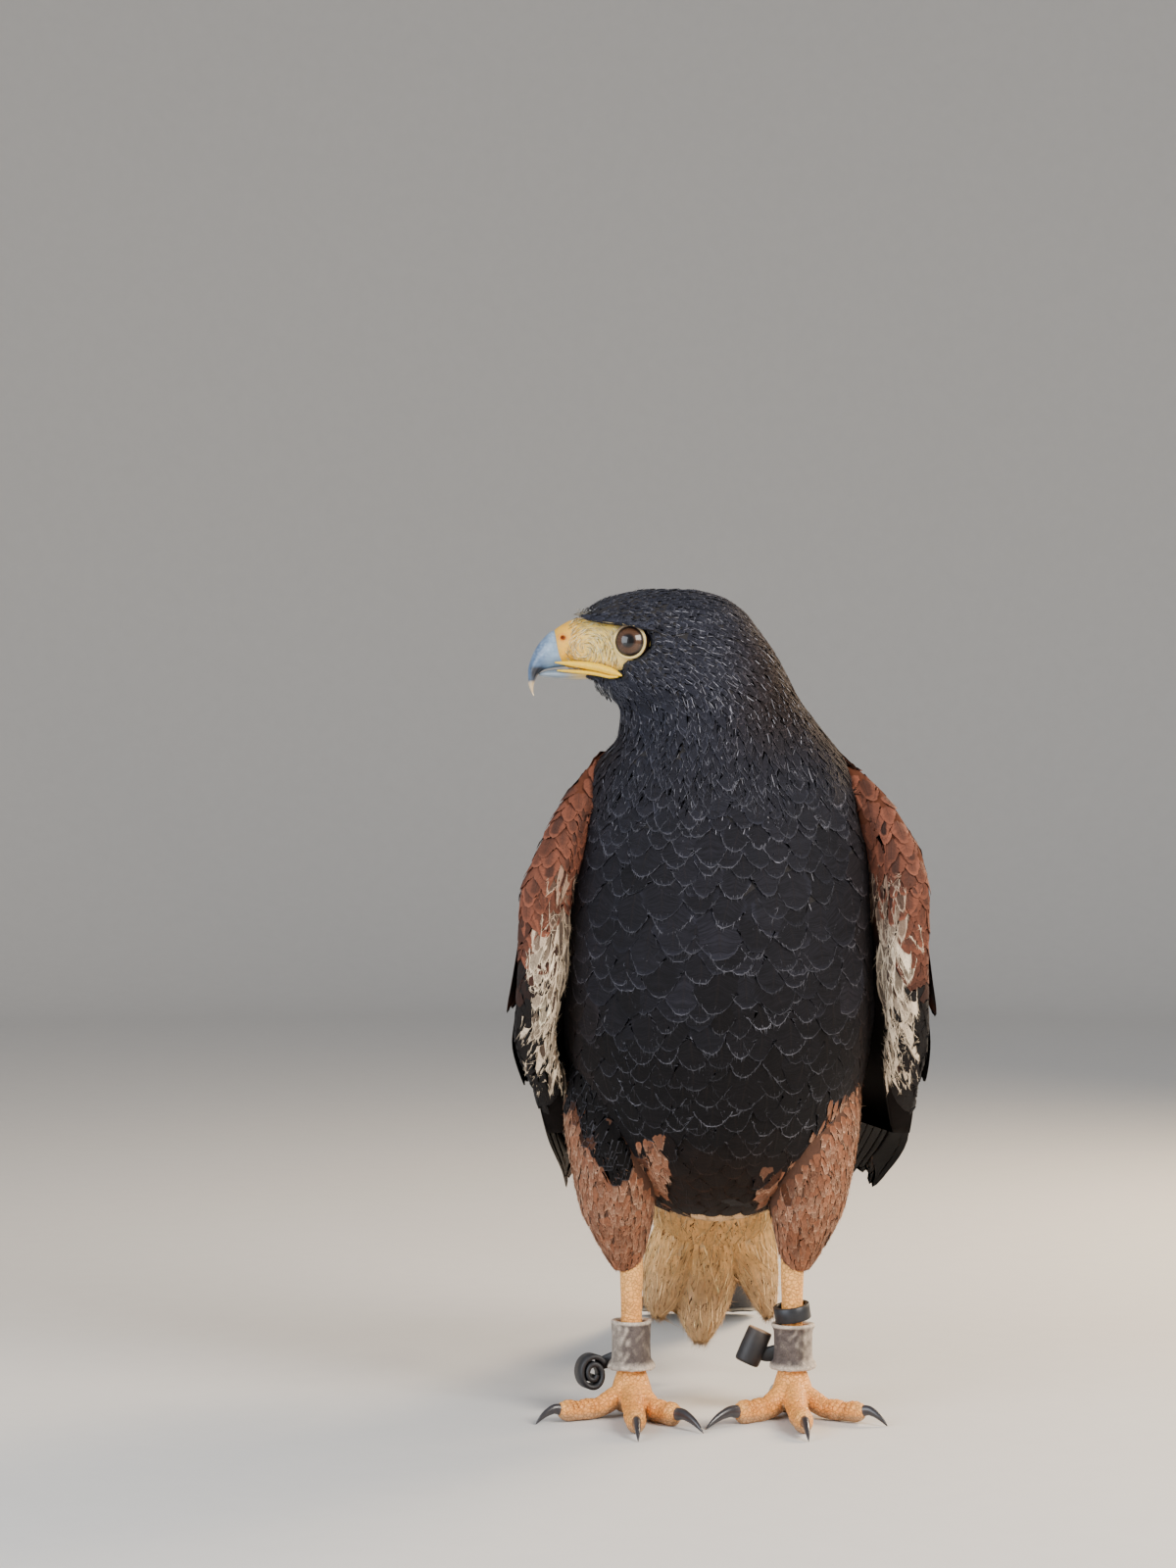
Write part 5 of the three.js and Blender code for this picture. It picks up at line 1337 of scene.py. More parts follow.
def wings():
    flight = featherMaterial("flight_feathers", {
        "barbs": 150.0, "barbSlant": 0.28, "fringeWidth": 1.6, "fringeBreak": 1.8, "shaftWide": 0.05, "shaftShow": 0.75,
        "shaftColour": (0.012, 0.009, 0.008), "bump": 0.3, "roughness": 0.6, "gloss": 0.12, "sheen": 0.0,
        "coreNarrow": 0.85, "coreFrom": 0.15, "coreTo": 0.5, "barbDark": 0.75, "barbLight": 1.25,
    })
    shoulder = featherMaterial("shoulder_feathers", {
        "barbs": 40.0, "fringeWidth": 1.0, "fringeBreak": 1.2, "coreNarrow": 1.5, "coreFrom": 0.35, "coreTo": 0.7,
        "coreEnd": 0.86, "shaftShow": 0.3, "bump": 0.5, "roughness": 0.7, "gloss": 0.2, "sheen": 0.05,
    })
    down = plainMaterial("wing_down", {"grain": 400.0, "bump": 0.5, "depth": 0.0005, "roughness": 0.9, "gloss": 0.1})
    mottled = featherMaterial("lining_feathers", {
        "barbs": 30.0, "fringeWidth": 0.8, "fringeBreak": 1.2, "coreNarrow": 1.7, "coreFrom": 0.26, "coreTo": 0.4,
        "coreEnd": 0.96, "shaftShow": 0.2, "bump": 0.3, "roughness": 0.75, "gloss": 0.2, "sheen": 0.05,
        "blotchScale": 220.0,
    })
    for number, sideName in enumerate(("left", "right")):
        rng = np.random.default_rng(60 + number)
        surface = lambda share, z, sideName=sideName: wingPoint(sideName, share, z)
        skin = wingSkin(sideName)
        finishPiece(skin, down, "wing_plumage", ("wing_" + sideName,))
        feathers = {"flight": [], "coverts": []}

        def place(ends, t, rng=rng):
            share, height = (ends[0][k] + (ends[1][k] - ends[0][k]) * t for k in (0, 1))
            return share + rng.normal(0, 0.004), height + rng.normal(0, 1.2)

        for tier in wingTiers:
            for i in range(tier["count"]):
                t = i / (tier["count"] - 1)
                base = tint(wingLook[tier["base"]], 1, 0.12, rng, rng.random())[0]
                core = tint(wingLook["dark"], 1, 0.1, rng, rng.uniform(0.75, 1))[0]
                fringe = tint(wingLook["edge"], 1, 0.2, rng, tier["fringe"])[0]
                group = "coverts" if "coverts" in tier["name"] else "flight"
                feathers[group].append({
                    "root": place(tier["root"], t), "tip": place(tier["tip"], t),
                    "width": tier["width"] * rng.normal(1, 0.03),
                    "lift": (tier["lift"][0], tier["lift"][1] + rng.normal(0, 0.15)), "shaft": tier["shaft"],
                    "roll": -0.1 * sideSign[sideName], "blunt": 0.75 if group == "coverts" else 0.6,
                } | shades(base, core, fringe))
        for group, laid in feathers.items():
            name = group + "_" + sideName
            rows = 24 if group == "flight" else 16
            piece = laidVanes(name, surface, (0.002, 0.2), sideSign[sideName], laid, name, rows, 70 + number)
            finishPiece(piece, flight, "wing_plumage")

        tree = treeOf(skin)
        spots, share, z = scatter(
            surface, (-0.42, 1.0), (150, 304), wingLook["shoulderSpacing"], 80 + number,
            lambda spots, u, v: (v > 222 - 72 * smooth(0.12, 0.02, u) + 16 * smooth(0.5, 1, u) + 4 * np.sin(31 * u))
            & (u > -0.17 - 0.25 * smooth(236, 250, v)),
        )
        count = len(spots)
        lie = np.array([0, 0.5, -1.0]) + rng.normal(0, 0.09, (count, 3))
        lie[:, 1] -= 0.5 * smooth(0.1, -0.1, share)
        low = smooth(236, 208, z + rng.normal(0, 5, count))
        base = tint(wingLook["chestnut"], count, 0.2, rng, rng.random(count))
        shift(base, wingLook["dark"], low)
        core = tint(wingLook["centre"], count, 0.25, rng, np.clip(rng.normal(0.6, 0.2, count), 0.1, 1) * (1 - low))
        fringe = tint(wingLook["chestnutPale"], count, 0.2, rng, 0.7 * (1 - 0.9 * low))
        grow = rng.lognormal(0, 0.1, count) * (1 + 0.3 * smooth(270, 230, z))
        sizes = {
            "length": 14.5 * grow, "width": 9.5 * grow, "sink": 0.5, "lift": 0.9, "roll": rng.normal(0, 0.02, count),
            "tipRound": 0.36, "ragged": 0.014, "even": 0.85,
        }
        spot = bakeSpot("shoulder_" + sideName, (share + 0.42) / 1.42, (z - 150) / 154)
        coat(
            "shoulder_feathers_" + sideName, tree, spots, lie, spot, sizes, shades(base, core, fringe),
            (6, 6, 90 + number), shoulder, "wing_plumage",
        )

        spots, share, z = scatter(
            surface, (-0.42, -0.1), (142, 262), wingLook["liningSpacing"], 100 + number,
            lambda spots, u, v: (u < -0.155 - 0.05 * smooth(222, 256, v)) & (v > 166),
        )
        count = len(spots)
        lie = np.array([sideSign[sideName] * 0.14, -0.1, -1.0]) + rng.normal(0, 0.14, (count, 3))
        base = tint(wingLook["cream"], count, 0.12, rng, rng.random(count))
        shift(base, wingLook["chestnut"], smooth(225, 255, z) * 0.75)
        core = tint(wingLook["blotch"], count, 0.2, rng, (rng.random(count) < 0.75) * rng.uniform(0.6, 1, count))
        fringe = tint(wingLook["cream"], count, 0.1, rng, 0.6)
        long = smooth(200, 170, z)
        grow = rng.lognormal(0, 0.12, count)
        sizes = {
            "length": (21 + 6 * long) * grow, "width": (7.5 - 2.5 * long) * grow, "sink": 0.4,
            "lift": 0.9 + 0.4 * rng.random(count), "roll": rng.normal(0, 0.02, count), "tipRound": 0.5 + 0.2 * long,
            "ragged": 0.02, "even": 0.9, "barbs": {"each": 18, "length": 2.2, "wide": 0.24},
        }
        spot = bakeSpot("lining_" + sideName, (share + 0.42) / 0.32, (z - 142) / 120)
        coat(
            "lining_feathers_" + sideName, tree, spots, lie, spot, sizes, shades(base, core, fringe),
            (7, 6, 110 + number), mottled, "pale_plumage",
        )
    print("wings ready")


wings()


# Tail: its upper face, then the feathers under its root

tailShape = {
    "y": curve((0, 74), (1, 291)),
    "z": curve((0, 113), (0.21, 88), (0.42, 62), (0.63, 37.5), (0.82, 16.6), (1, 3.7)),
    "half": curve((0, 12), (0.3, 19), (1, 37)),
    "arch": 3.0,
    "pairs": 6,
    "dark": (0.013, 0.009, 0.008),
    "white": (0.66, 0.6, 0.5),
    # The cream is partly the pale feathers' own colour and partly painted warm sunlight; the lower cream that follows
    # is painted shade.
    "cream": (0.84, 0.48, 0.18),
    "creamInShade": (0.5, 0.31, 0.17),
    "strandPale": (0.95, 0.68, 0.36),
    "strandDeep": (0.5, 0.26, 0.1),
}


def tailPoint(across, along):
    across, along = np.broadcast_arrays(np.asarray(across, float), np.asarray(along, float))
    sag = tailShape["arch"] * across**2 * (1 - np.clip(along, 0, 1))
    past = np.clip(along - 1, 0, 1)
    return stack(across * tailShape["half"](along), tailShape["y"](along) + 217 * past, tailShape["z"](along) - sag)


def tail():
    rng = np.random.default_rng(7)
    material = featherMaterial("tail_feathers", {
        "barbs": 170.0, "barbSlant": 0.25, "fringeWidth": 0.8, "fringeBreak": 0.8, "shaftWide": 0.05, "shaftShow": 0.8,
        "shaftColour": (0.05, 0.035, 0.025), "bump": 0.4, "roughness": 0.5, "gloss": 0.4, "sheen": 0.05,
    })
    rows = 24
    t = np.linspace(0, 1, rows + 1) ** 0.9
    white = np.maximum(smooth(0.3, 0.2, t), smooth(0.928, 0.938, t))[:, None]
    feathers = []
    for i in range(tailShape["pairs"]):
        for side in (-1, 1):
            out = (i + 0.5) / tailShape["pairs"]
            base = tint(tailShape["dark"], 1, 0.1, rng, rng.random())[0]
            grid = np.tile(base, (rows + 1, len(shaftColumns), 1))
            grid[..., :3] = blend(grid[..., :3], tailShape["white"], white)
            feathers.append({
                "root": (side * out * 0.5, 0.14), "tip": (side * out * 0.72, 1 - 0.02 * out**2), "width": 23.5,
                "lift": (-2.4 - 0.3 * i, -0.6 - 0.62 * i), "roll": side * -0.03, "shaft": -side * 0.1 * i / 5,
                "blunt": 0.4, "camber": 0.05,
            } | shades(
                grid, tint(tailShape["dark"], 1, 0.1, rng, 0)[0], tint((0.1, 0.06, 0.04), 1, 0.1, rng, 0.4)[0],
            ))
    piece = laidVanes("tail_feathers", tailPoint, (0.01, 0.001), 1, feathers, "tail", rows, 5)
    finishPiece(piece, material, "tail_plumage")

    stops = [
        ((0, 60, 118), 25, 17), ((0, 84, 105), 24, 14.5), ((0, 108, 91.5), 20.5, 9.5), ((0, 132, 78), 16, 4.5),
        ((0, 152, 67), 12, 1.6),
    ]
    rings = pathRings(fineStops(stops, 40), 40, (1, 0, 0))
    core = skinOf("tail_skin", rings, lambda u, v: bakeSpot("tail_skin", u, v))
    finishPiece(core, softMaterial, "tail_plumage", ("tail",))
    tree = treeOf(core)
    surface = lambda across, along: tailPoint(across, along) + np.array([0, 3, 4.0])
    spots, across, along = scatter(surface, (-1.25, 1.25), (-0.08, 0.34), 4.6, 9)
    count = len(spots)
    lie = np.array([0, 1.0, -0.62]) + rng.normal(0, 0.07, (count, 3))
    grow = rng.lognormal(0, 0.1, count)
    sizes = {
        "length": 17 * grow, "width": 10 * grow, "sink": 1.4, "lift": 2.6, "roll": 0, "tipRound": 0.35, "ragged": 0.016,
    }
    colours = shades(
        tint(tailShape["white"], count, 0.06, rng, rng.random(count)),
        tint(tailShape["dark"], count, 0.1, rng, 0.0), tint((0.8, 0.74, 0.62), count, 0.05, rng, 0.4),
    )
    spot = bakeSpot("uppertail", (across + 1.25) / 2.5, (along + 0.08) / 0.42)
    coat("uppertail_coverts", tree, spots, lie, spot, sizes, colours, (5, 5, 12), fluffMaterial, "pale_plumage")
    print("tail ready")


# Soft lobes that hang under the tail, each with its tip to one side
undertailLobes = [
    [
        ((0, 34, 100), 25, 12), ((0, 50, 90), 28, 15), ((0, 74, 81), 28, 16), ((0, 98, 75), 22, 12),
        ((0, 114, 71), 12, 6),
    ],
    [
        ((-10, 62, 84), 14, 12), ((-17, 74, 66), 14, 11), ((-22, 82, 50), 11.5, 8), ((-25, 86, 38), 7, 4.6),
        ((-26, 88, 32), 2.6, 1.8),
    ],
    [
        ((0, 60, 84), 17, 13), ((-2, 76, 64), 16.5, 12), ((-4, 86, 44), 14, 9), ((-5, 91, 28), 9, 5.4),
        ((-5, 93, 19), 3.4, 2.2),
    ],
    [
        ((11, 62, 84), 14, 12), ((18, 74, 66), 12.5, 10), ((23, 82, 50), 8.5, 7), ((26, 86, 39), 5.4, 4.2),
        ((27.5, 88, 32), 2.2, 1.8),
    ],
]


def undertail():
    rng = np.random.default_rng(17)
    lobes = []
    for k, stops in enumerate(undertailLobes):
        rings = pathRings(fineStops(stops, 40), 36, (1, 0, 0))
        lobes.append(skinOf("lobe_%d" % k, rings, lambda u, v, k=k: bakeSpot("vent", (u + k) / 4, v)))
    roots, lies, uvs = [], [], []
    for k, stops in enumerate(undertailLobes):
        fine = fineStops(stops, 60)
        rings = pathRings(fine, 48, (1, 0, 0))
        row = lambda along: np.clip((along * 59).astype(int), 0, 59)
        surface = lambda turn, along, rings=rings: rings[row(along), (turn * 48).astype(int) % 48]
        spots, turn, along = scatter(surface, (0, 1), (0.03, 0.99), 2.5, 30 + k)
        path = np.array([stop[0] for stop in fine])
        away = np.gradient(path, axis=0)[row(along)]
        roots.append(spots)
        lies.append(unit(away) + np.array([0, 0, -0.35]) + rng.normal(0, 0.12, (len(spots), 3)))
        uvs.append(bakeSpot("vent", (turn + k) / 4, along))
    skin = joined("undertail_skin", lobes)
    finishPiece(skin, softMaterial, "pale_plumage", ("undertail",))
    tree = treeOf(skin)
    roots, lies, uvs = (np.concatenate(item) for item in (roots, lies, uvs))
    count = len(roots)
    grow = rng.lognormal(0, 0.2, count)
    shade = tint(tailShape["cream"], count, 0.07, rng, rng.random(count))
    # Darker towards the bottom of the lobes: painted shade.
    shift(shade, tailShape["creamInShade"], smooth(82, 45, roots[:, 2]))
    sizes = {
        "length": 13 * grow, "width": 4.6 * grow, "sink": 0.3, "lift": 0.2 + 0.2 * rng.random(count),
        "roll": rng.normal(0, 0.02, count), "tipRound": 0.6, "ragged": 0.02, "even": 0.95,
        "barbs": {"each": 20, "length": 3.6, "wide": 0.22},
    }
    colours = shades(
        shade, tint((0.4, 0.25, 0.13), count, 0.1, rng, 0.0), tint((0.95, 0.6, 0.26), count, 0.1, rng, 0.5),
    )
    coat("undertail_fluff", tree, roots, lies, uvs, sizes, colours, (4, 3, 18), fluffMaterial, "pale_plumage")
    for key, share in (("strandPale", 0.42), ("strandDeep", 0.3)):
        pick = rng.random(count) < share
        own = (roots[pick], lies[pick], uvs[pick], tailShape[key], (13, 0.34, 0.7, 0.25))
        hairs("undertail_" + key.lower(), tree, *own, 19, 0.12, "pale_plumage")
    print("undertail fluff:", count)


tail()
undertail()


# Thighs

thighShape = {
    "rows": [  # height, how far out from the leg, front or back, half width, half depth
        (66, 1.8, 5, 7, 8), (75, 3.6, 4, 11, 12.5), (84, 5, 2.5, 14.5, 16.5), (94, 6.3, 1, 18, 21),
        (110, 7.5, 0, 20.5, 25), (130, 9, 2, 22.5, 28), (150, 10, 6, 23, 28), (170, 8, 10, 20, 24),
        (182, 6, 12, 12, 16),
    ],
    "coatDepth": 1.6,
    "rufous": (0.25, 0.092, 0.042),
    "pale": (0.68, 0.47, 0.33),
    "deep": (0.14, 0.05, 0.025),
    "point": {"left": (31, 114), "right": (-49, 117)},  # where the belly's dark feathers end on the thigh
    "innerTop": {"left": 120, "right": 137},
    "spacing": 2.9,
}
thighCurves = [curve(*[(row[0], row[k]) for row in thighShape["rows"]]) for k in range(1, 5)]


def thighPoint(sideName, turn, z, grow=0.0):
    out, middle, wide, deep = (part(z) for part in thighCurves)
    x = legX[sideName] + sideSign[sideName] * out + (wide + grow) * np.sin(turn)
    return stack(x, middle - (deep + grow) * np.cos(turn), z)


def thighs(hawkSkin):
    bodyTree = treeOf(hawkSkin)
    material = featherMaterial("thigh_feathers", {
        "barbs": 14.0, "fringeWidth": 1.9, "fringeBreak": 1.7, "coreNarrow": 1.2, "shaftShow": 0.1, "bump": 0.4,
        "roughness": 0.75, "sheen": 0.1, "sheenTint": (0.9, 0.7, 0.5),
    })
    for number, sideName in enumerate(("left", "right")):
        rng = np.random.default_rng(200 + number)
        zz, tt = np.meshgrid(np.linspace(67, 176, 60), around(64), indexing="ij")
        cell = "thigh_" + sideName
        rings = thighPoint(sideName, tt, zz, -thighShape["coatDepth"])
        skin = skinOf("thigh_skin_" + sideName, rings, lambda u, v, cell=cell: bakeSpot(cell, u, v))
        down = downMaterial("thigh_down_" + sideName, (0.06, 0.025, 0.014), (0.1, 0.04, 0.02))
        finishPiece(skin, down, "thigh_plumage", (cell,))
        surface = lambda turn, z, sideName=sideName: thighPoint(sideName, turn, z)
        spots, turn, z = scatter(surface, (0, 2 * np.pi), (66.5, 172), thighShape["spacing"], 210 + number)
        # Dark feathers of the belly hang over the thigh's top as a point, and the thigh's own feathers
        # lie over the belly beside it.
        pointX, pointZ = thighShape["point"][sideName]
        outward = sideSign[sideName] * (spots[:, 0] - pointX)
        inner = np.minimum(pointZ - 1.2 * outward, thighShape["innerTop"][sideName])
        edge = np.where(outward > 0, pointZ + 1.9 * outward, inner)
        over = np.zeros(len(spots), bool)
        for k in np.flatnonzero((np.cos(turn) > 0) & (z < 150)):
            hit = bodyTree.ray_cast(Vector((spots[k, 0], -200, z[k])), Vector((0, 1, 0)))[0]
            if hit is not None and hit[1] < spots[k, 1] + 1:
                spots[k], over[k] = hit, True
        keep = ~(over & (z > edge))
        spots, turn, z, over, edge = (item[keep] for item in (spots, turn, z, over, edge))
        count = len(spots)
        lie = np.array([0, 0.12, -1.0]) + rng.normal(0, 0.14, (count, 3))
        grow = rng.lognormal(0, 0.15, count)
        dark = smooth(-5, 5, z - edge + rng.normal(0, 3, count))
        base = tint(thighShape["rufous"], count, 0.22, rng, rng.random(count))
        shift(base, coatPlan["belly"], dark)
        pale = np.clip(rng.normal(0.65, 0.35, count), 0, 1) * (1 - dark) * (0.35 + 0.65 * smooth(72, 100, z))
        sizes = {
            "length": (10.5 + 3 * smooth(90, 70, z) + 5 * dark) * grow, "width": (4.2 + 5 * dark) * grow,
            "sink": 0.3 - 1.1 * over, "lift": 0.4 + 0.2 * rng.random(count) + 0.4 * dark + 0.9 * over,
            "roll": rng.normal(0, 0.03, count), "tipRound": 0.5, "ragged": 0.02, "even": 0.75,
            "barbs": {"each": 8, "length": 1.7, "wide": 0.18, "pale": 0.9},
        }
        core = tint(thighShape["deep"], count, 0.2, rng, 0.5 * (1 - dark))
        fringe = tint(thighShape["pale"], count, 0.15, rng, pale)
        fringe[dark > 0.5] = (*coatPlan["fringe"], 0.4)
        colours = shades(base, core, fringe)
        spot = bakeSpot(cell, turn / (2 * np.pi), (z - 66) / 108)
        tree = treeOf(skin, hawkSkin)
        for name, kind, slot, pick in (
            ("thigh_feathers_", material, "thigh_plumage", dark <= 0.5),
            ("thigh_point_", darkFeathers, "dark_plumage", dark > 0.5),
        ):
            coat(
                name + sideName, tree, spots[pick], lie[pick], spot[pick], picked(sizes, pick), picked(colours, pick),
                (5, 3, 220 + number), kind, slot,
            )
        print("thigh feathers:", count)


thighs(skin)


# Legs and what they wear

# The pale leather colour stands for wear, and on the cuffs' outer sides also for painted sunlight.
legColours = {
    "skin": (0.9, 0.36, 0.075), "pale": (0.95, 0.49, 0.14), "groove": (0.22, 0.055, 0.02), "pad": (0.55, 0.3, 0.14),
    "claw": (0.03, 0.028, 0.032), "clawRoot": (0.12, 0.1, 0.1), "leather": (0.05, 0.038, 0.04),
    "wornAndLit": (0.6, 0.51, 0.42), "black": (0.012, 0.012, 0.014), "cut": (0.38, 0.24, 0.14), "ring": (0.035, 0.037, 0.042),
}
toePlan = {  # heading, length to the claw, claw length, half width
    "left": [
        ("inner", -50, 33, 24, 5.6), ("middle", 3, 45, 20, 5.4), ("outer", 56, 36, 16, 4.9), ("hind", 190, 25, 27, 5.6),
    ],
    "right": [
        ("inner", 36, 33, 24, 5.6), ("middle", 2, 45, 20, 5.4), ("outer", -62, 36, 16, 4.9), ("hind", 170, 25, 27, 5.6),
    ],
}
scuteStep = 2.7
# Height, half width and half depth of the foot's middle and of the shank.
hubStops = [(1.2, 5, 5.4), (4, 8.6, 8.6), (9, 9.8, 9.6), (15, 8.4, 8.2), (21, 6.4, 6.6), (26, 5.4, 5.8)]
shankStops = [(19, 6.2, 6.2), (26, 5.1, 5.4), (36, 4.8, 5.3), (52, 4.9, 5.4), (66, 5.3, 6.0), (80, 5.2, 6.4)]
toeStops = [  # share of the length, height, width and height of the toe
    (0, 12, 0.95, 1.05), (0.2, 9.6, 1.02, 1.02), (0.36, 6.8, 0.96, 1.0), (0.5, 4.9, 0.8, 0.92),
    (0.64, 4.9, 0.95, 1.0), (0.77, 4.6, 0.76, 0.88), (0.9, 5.1, 0.86, 1.0), (1.0, 5.2, 0.7, 0.84),
    (1.05, 5.2, 0.4, 0.5),
]
clawStops = [  # share of the length, rise and width
    (-0.12, 0.2, 0.52), (0.1, 1.0, 0.5), (0.3, 1.5, 0.44), (0.52, 0.6, 0.36), (0.74, -1.2, 0.26), (0.92, -3.4, 0.13),
    (1.0, -4.6, 0.04),
]
cuffPlan = {
    "left": {"bottom": 21.2, "top": 41.8, "waist": 8.5, "rim": 10.6, "topRim": 9.8, "fray": 0.25},
    "right": {"bottom": 21.2, "top": 43.4, "waist": 8.9, "rim": 11.2, "topRim": 9.3, "fray": 0.8},
}


def toeWay(angle):
    return np.array([math.sin(math.radians(angle)), -math.cos(math.radians(angle)), 0])


def footPlace(sideName, out, angle, z):
    place = np.array([legX[sideName], legY - 3, 0]) + toeWay(angle) * out
    place[2] = z
    return place


def fused(thing, voxel, rounds):
    remesh = thing.modifiers.new("fuse", "REMESH")
    remesh.mode = "VOXEL"
    remesh.voxel_size = voxel / 1000
    soften = thing.modifiers.new("soften", "SMOOTH")
    soften.iterations = rounds
    soften.factor = 0.5
    depsgraph = bpy.context.evaluated_depsgraph_get()
    mesh = bpy.data.meshes.new_from_object(thing.evaluated_get(depsgraph))
    thing.modifiers.clear()
    thing.data = mesh
    return thing


def foot(sideName, material):
    parts = []
    for name, angle, length, _, thick in toePlan[sideName]:
        stops = [
            (footPlace(sideName, length * t, angle, z), thick * wide, thick * high) for t, z, wide, high in toeStops
        ]
        parts.append(roundPiece("toe_" + name, pathRings(fineStops(stops, 40), 24), (1, 1, 1)))
    hub = [((legX[sideName], legY - 3 * (1 - z / 20), z), wide, deep) for z, wide, deep in hubStops]
    parts.append(roundPiece("hub", pathRings(fineStops(hub, 30), 36, (1, 0, 0)), (1, 1, 1)))
    thing = fused(joined("foot_skin_" + sideName, parts), 0.62, 10)
    mesh = thing.data
    count = len(mesh.vertices)
    points = meshPoints(mesh)
    normals = np.empty(count * 3, np.float32)
    mesh.vertices.foreach_get("normal", normals)
    normals = normals.reshape(-1, 3)
    swell = np.zeros(count)
    paint = np.tile(np.array(legColours["skin"]), (count, 1))
    up = smooth(-0.2, 0.5, normals[:, 2])
    for name, angle, length, _, thick in toePlan[sideName]:
        way = toeWay(angle)
        away = points - footPlace(sideName, 0, angle, 0)
        along = away @ way
        across = away @ np.array([-way[1], way[0], 0])
        on = smooth(9, 14, along) * smooth(thick * 1.6, thick * 1.2, np.abs(across))
        scute = along + 0.05 * across**2
        far = smooth(length * 0.45, length * 0.7, along)
        wave = np.abs(np.mod(scute / scuteStep, 1) - 0.5) * 2
        groove = smooth(0.72, 1.0, wave) * on * up
        swell += on * up * (0.36 * far + 0.2) * (0.35 - wave**3)
        paint = blend(paint, legColours["groove"], groove * (0.35 + 0.45 * far))
        paint = blend(paint, legColours["pale"], 0.5 * on * smooth(length * 0.9, length * 1.0, along) * up)
    under = smooth(0.1, -0.5, normals[:, 2])
    paint = blend(paint, legColours["pad"], under)
    paint = blend(paint, legColours["pale"], 0.35 * smooth(8, 16, points[:, 2]))
    points = points + normals * swell[:, None]
    points[:, 2] = np.maximum(points[:, 2], 0.05)
    mesh.vertices.foreach_set("co", toScene(points).astype(np.float32).ravel())
    layer = mesh.attributes.new("baseColour", "FLOAT_COLOR", "POINT")
    layer.data.foreach_set("color", opaque(paint).astype(np.float32).ravel())
    mesh.polygons.foreach_set("use_smooth", np.ones(len(mesh.polygons), bool))
    finishPiece(thing, material, "leg_skin", ("foot_" + sideName,))


def claws(sideName, material):
    def paint(points, u, v):
        return blend(legColours["claw"], legColours["clawRoot"], smooth(0.3, 0.05, v) * 0.8)

    for name, angle, length, size, thick in toePlan[sideName]:
        start = length - 0.6
        stops = []
        for t, rise, wide in clawStops:
            place = footPlace(sideName, start + size * 0.88 * t, angle, 4.9 + rise)
            stops.append((place, thick * wide * 0.8, thick * wide * 1.05))
        piece = roundPiece("talon_%s_%s" % (name, sideName), pathRings(fineStops(stops, 40), 24), paint)
        finishPiece(piece, material, "claw_horn", ("claw_%s_%s" % (name, sideName),))


def shank(sideName, material):
    stops = [((legX[sideName], legY, z), wide, deep) for z, wide, deep in shankStops]

    # A row of raised scutes down the front.
    def scutes(u, v):
        raised = np.abs(np.mod(v * 19 + 0.4 * np.cos(2 * np.pi * u), 1) - 0.5) < 0.4
        return 0.13 * smooth(0.1, 0.7, np.sin(2 * np.pi * u)) * raised

    def paint(points, u, v):
        return blend(legColours["skin"], legColours["pale"], 0.35 + 0.5 * smooth(45, 72, points[..., 2]))

    rings = pathRings(fineStops(stops, 200), 40, (1, 0, 0))
    piece = roundPiece("shank_skin_" + sideName, rings, paint, scutes)
    finishPiece(piece, material, "leg_skin", ("shank_" + sideName,))


def cuff(sideName, material):
    plan = cuffPlan[sideName]
    rng = np.random.default_rng(3 + sideSign[sideName])
    low, high = plan["bottom"], plan["top"]
    profile = [
        (6.0, low + 3.5), (7.0, low + 0.6), (plan["rim"] - 0.7, low), (plan["rim"], low + 0.9),
        (plan["rim"] - 0.5, low + 2.4), (plan["waist"] + 0.3, low + 4.6), (plan["waist"], (low + high) / 2),
        (plan["waist"] + 0.2, high - 4),
        (plan["topRim"], high - 1.1), (plan["topRim"] - 0.2, high - 0.2), (plan["topRim"] - 1.2, high),
        (6.6, high - 0.8), (6.0, high - 4),
    ]
    keys = np.linspace(0, 1, len(profile))
    radius, height = (curve(*zip(keys, column)) for column in np.array(profile).T)
    t = np.linspace(0, 1, 90)[:, None]
    turn = around(96)[None]
    lump = sum(rng.normal(0, 0.16) * np.cos(k * turn + rng.uniform(0, 6)) for k in range(1, 6))
    fray = sum(rng.normal(0, 0.3) * np.cos(k * turn + rng.uniform(0, 6)) for k in (7, 9, 12, 17, 23))
    rimShare = smooth(low + 3.5, low + 0.8, height(t)) * smooth(6.5, 8, radius(t))
    r = radius(t) + lump + fray * plan["fray"] * rimShare
    z = height(t) + 0.5 * lump * smooth(low + 6, low + 1, height(t)) + fray * 0.8 * plan["fray"] * rimShare
    rings = stack(legX[sideName] + r * np.cos(turn), legY + r * np.sin(turn), z)

    def paint(points, u, v):
        level = points[..., 2]
        edge = np.maximum(smooth(low + 3.2 + 1.6 * plan["fray"], low + 1, level), smooth(high - 1.9, high - 0.7, level))
        x, y = points[..., 0], points[..., 1]
        # The outer side is lighter as painted sunlight; the scuffs and the pale rims are wear.
        outer = sideSign[sideName] * (x - legX[sideName]) / plan["waist"]
        scuff = np.sin(0.9 * x + 1.4 * np.sin(0.6 * level)) * np.sin(0.5 * level + 0.4 * y + 1.2 * np.sin(0.8 * x))
        share = 0.1 + 0.45 * smooth(0.1, 0.9, outer + 0.35 * scuff) + 0.16 * smooth(0.3, 0.9, scuff)
        shade = blend(legColours["leather"], legColours["wornAndLit"], share)
        return blend(shade, legColours["wornAndLit"], edge * 0.9)

    finishPiece(roundPiece("anklet_" + sideName, rings, paint), material, "cuff_leather", ("cuff_" + sideName,))


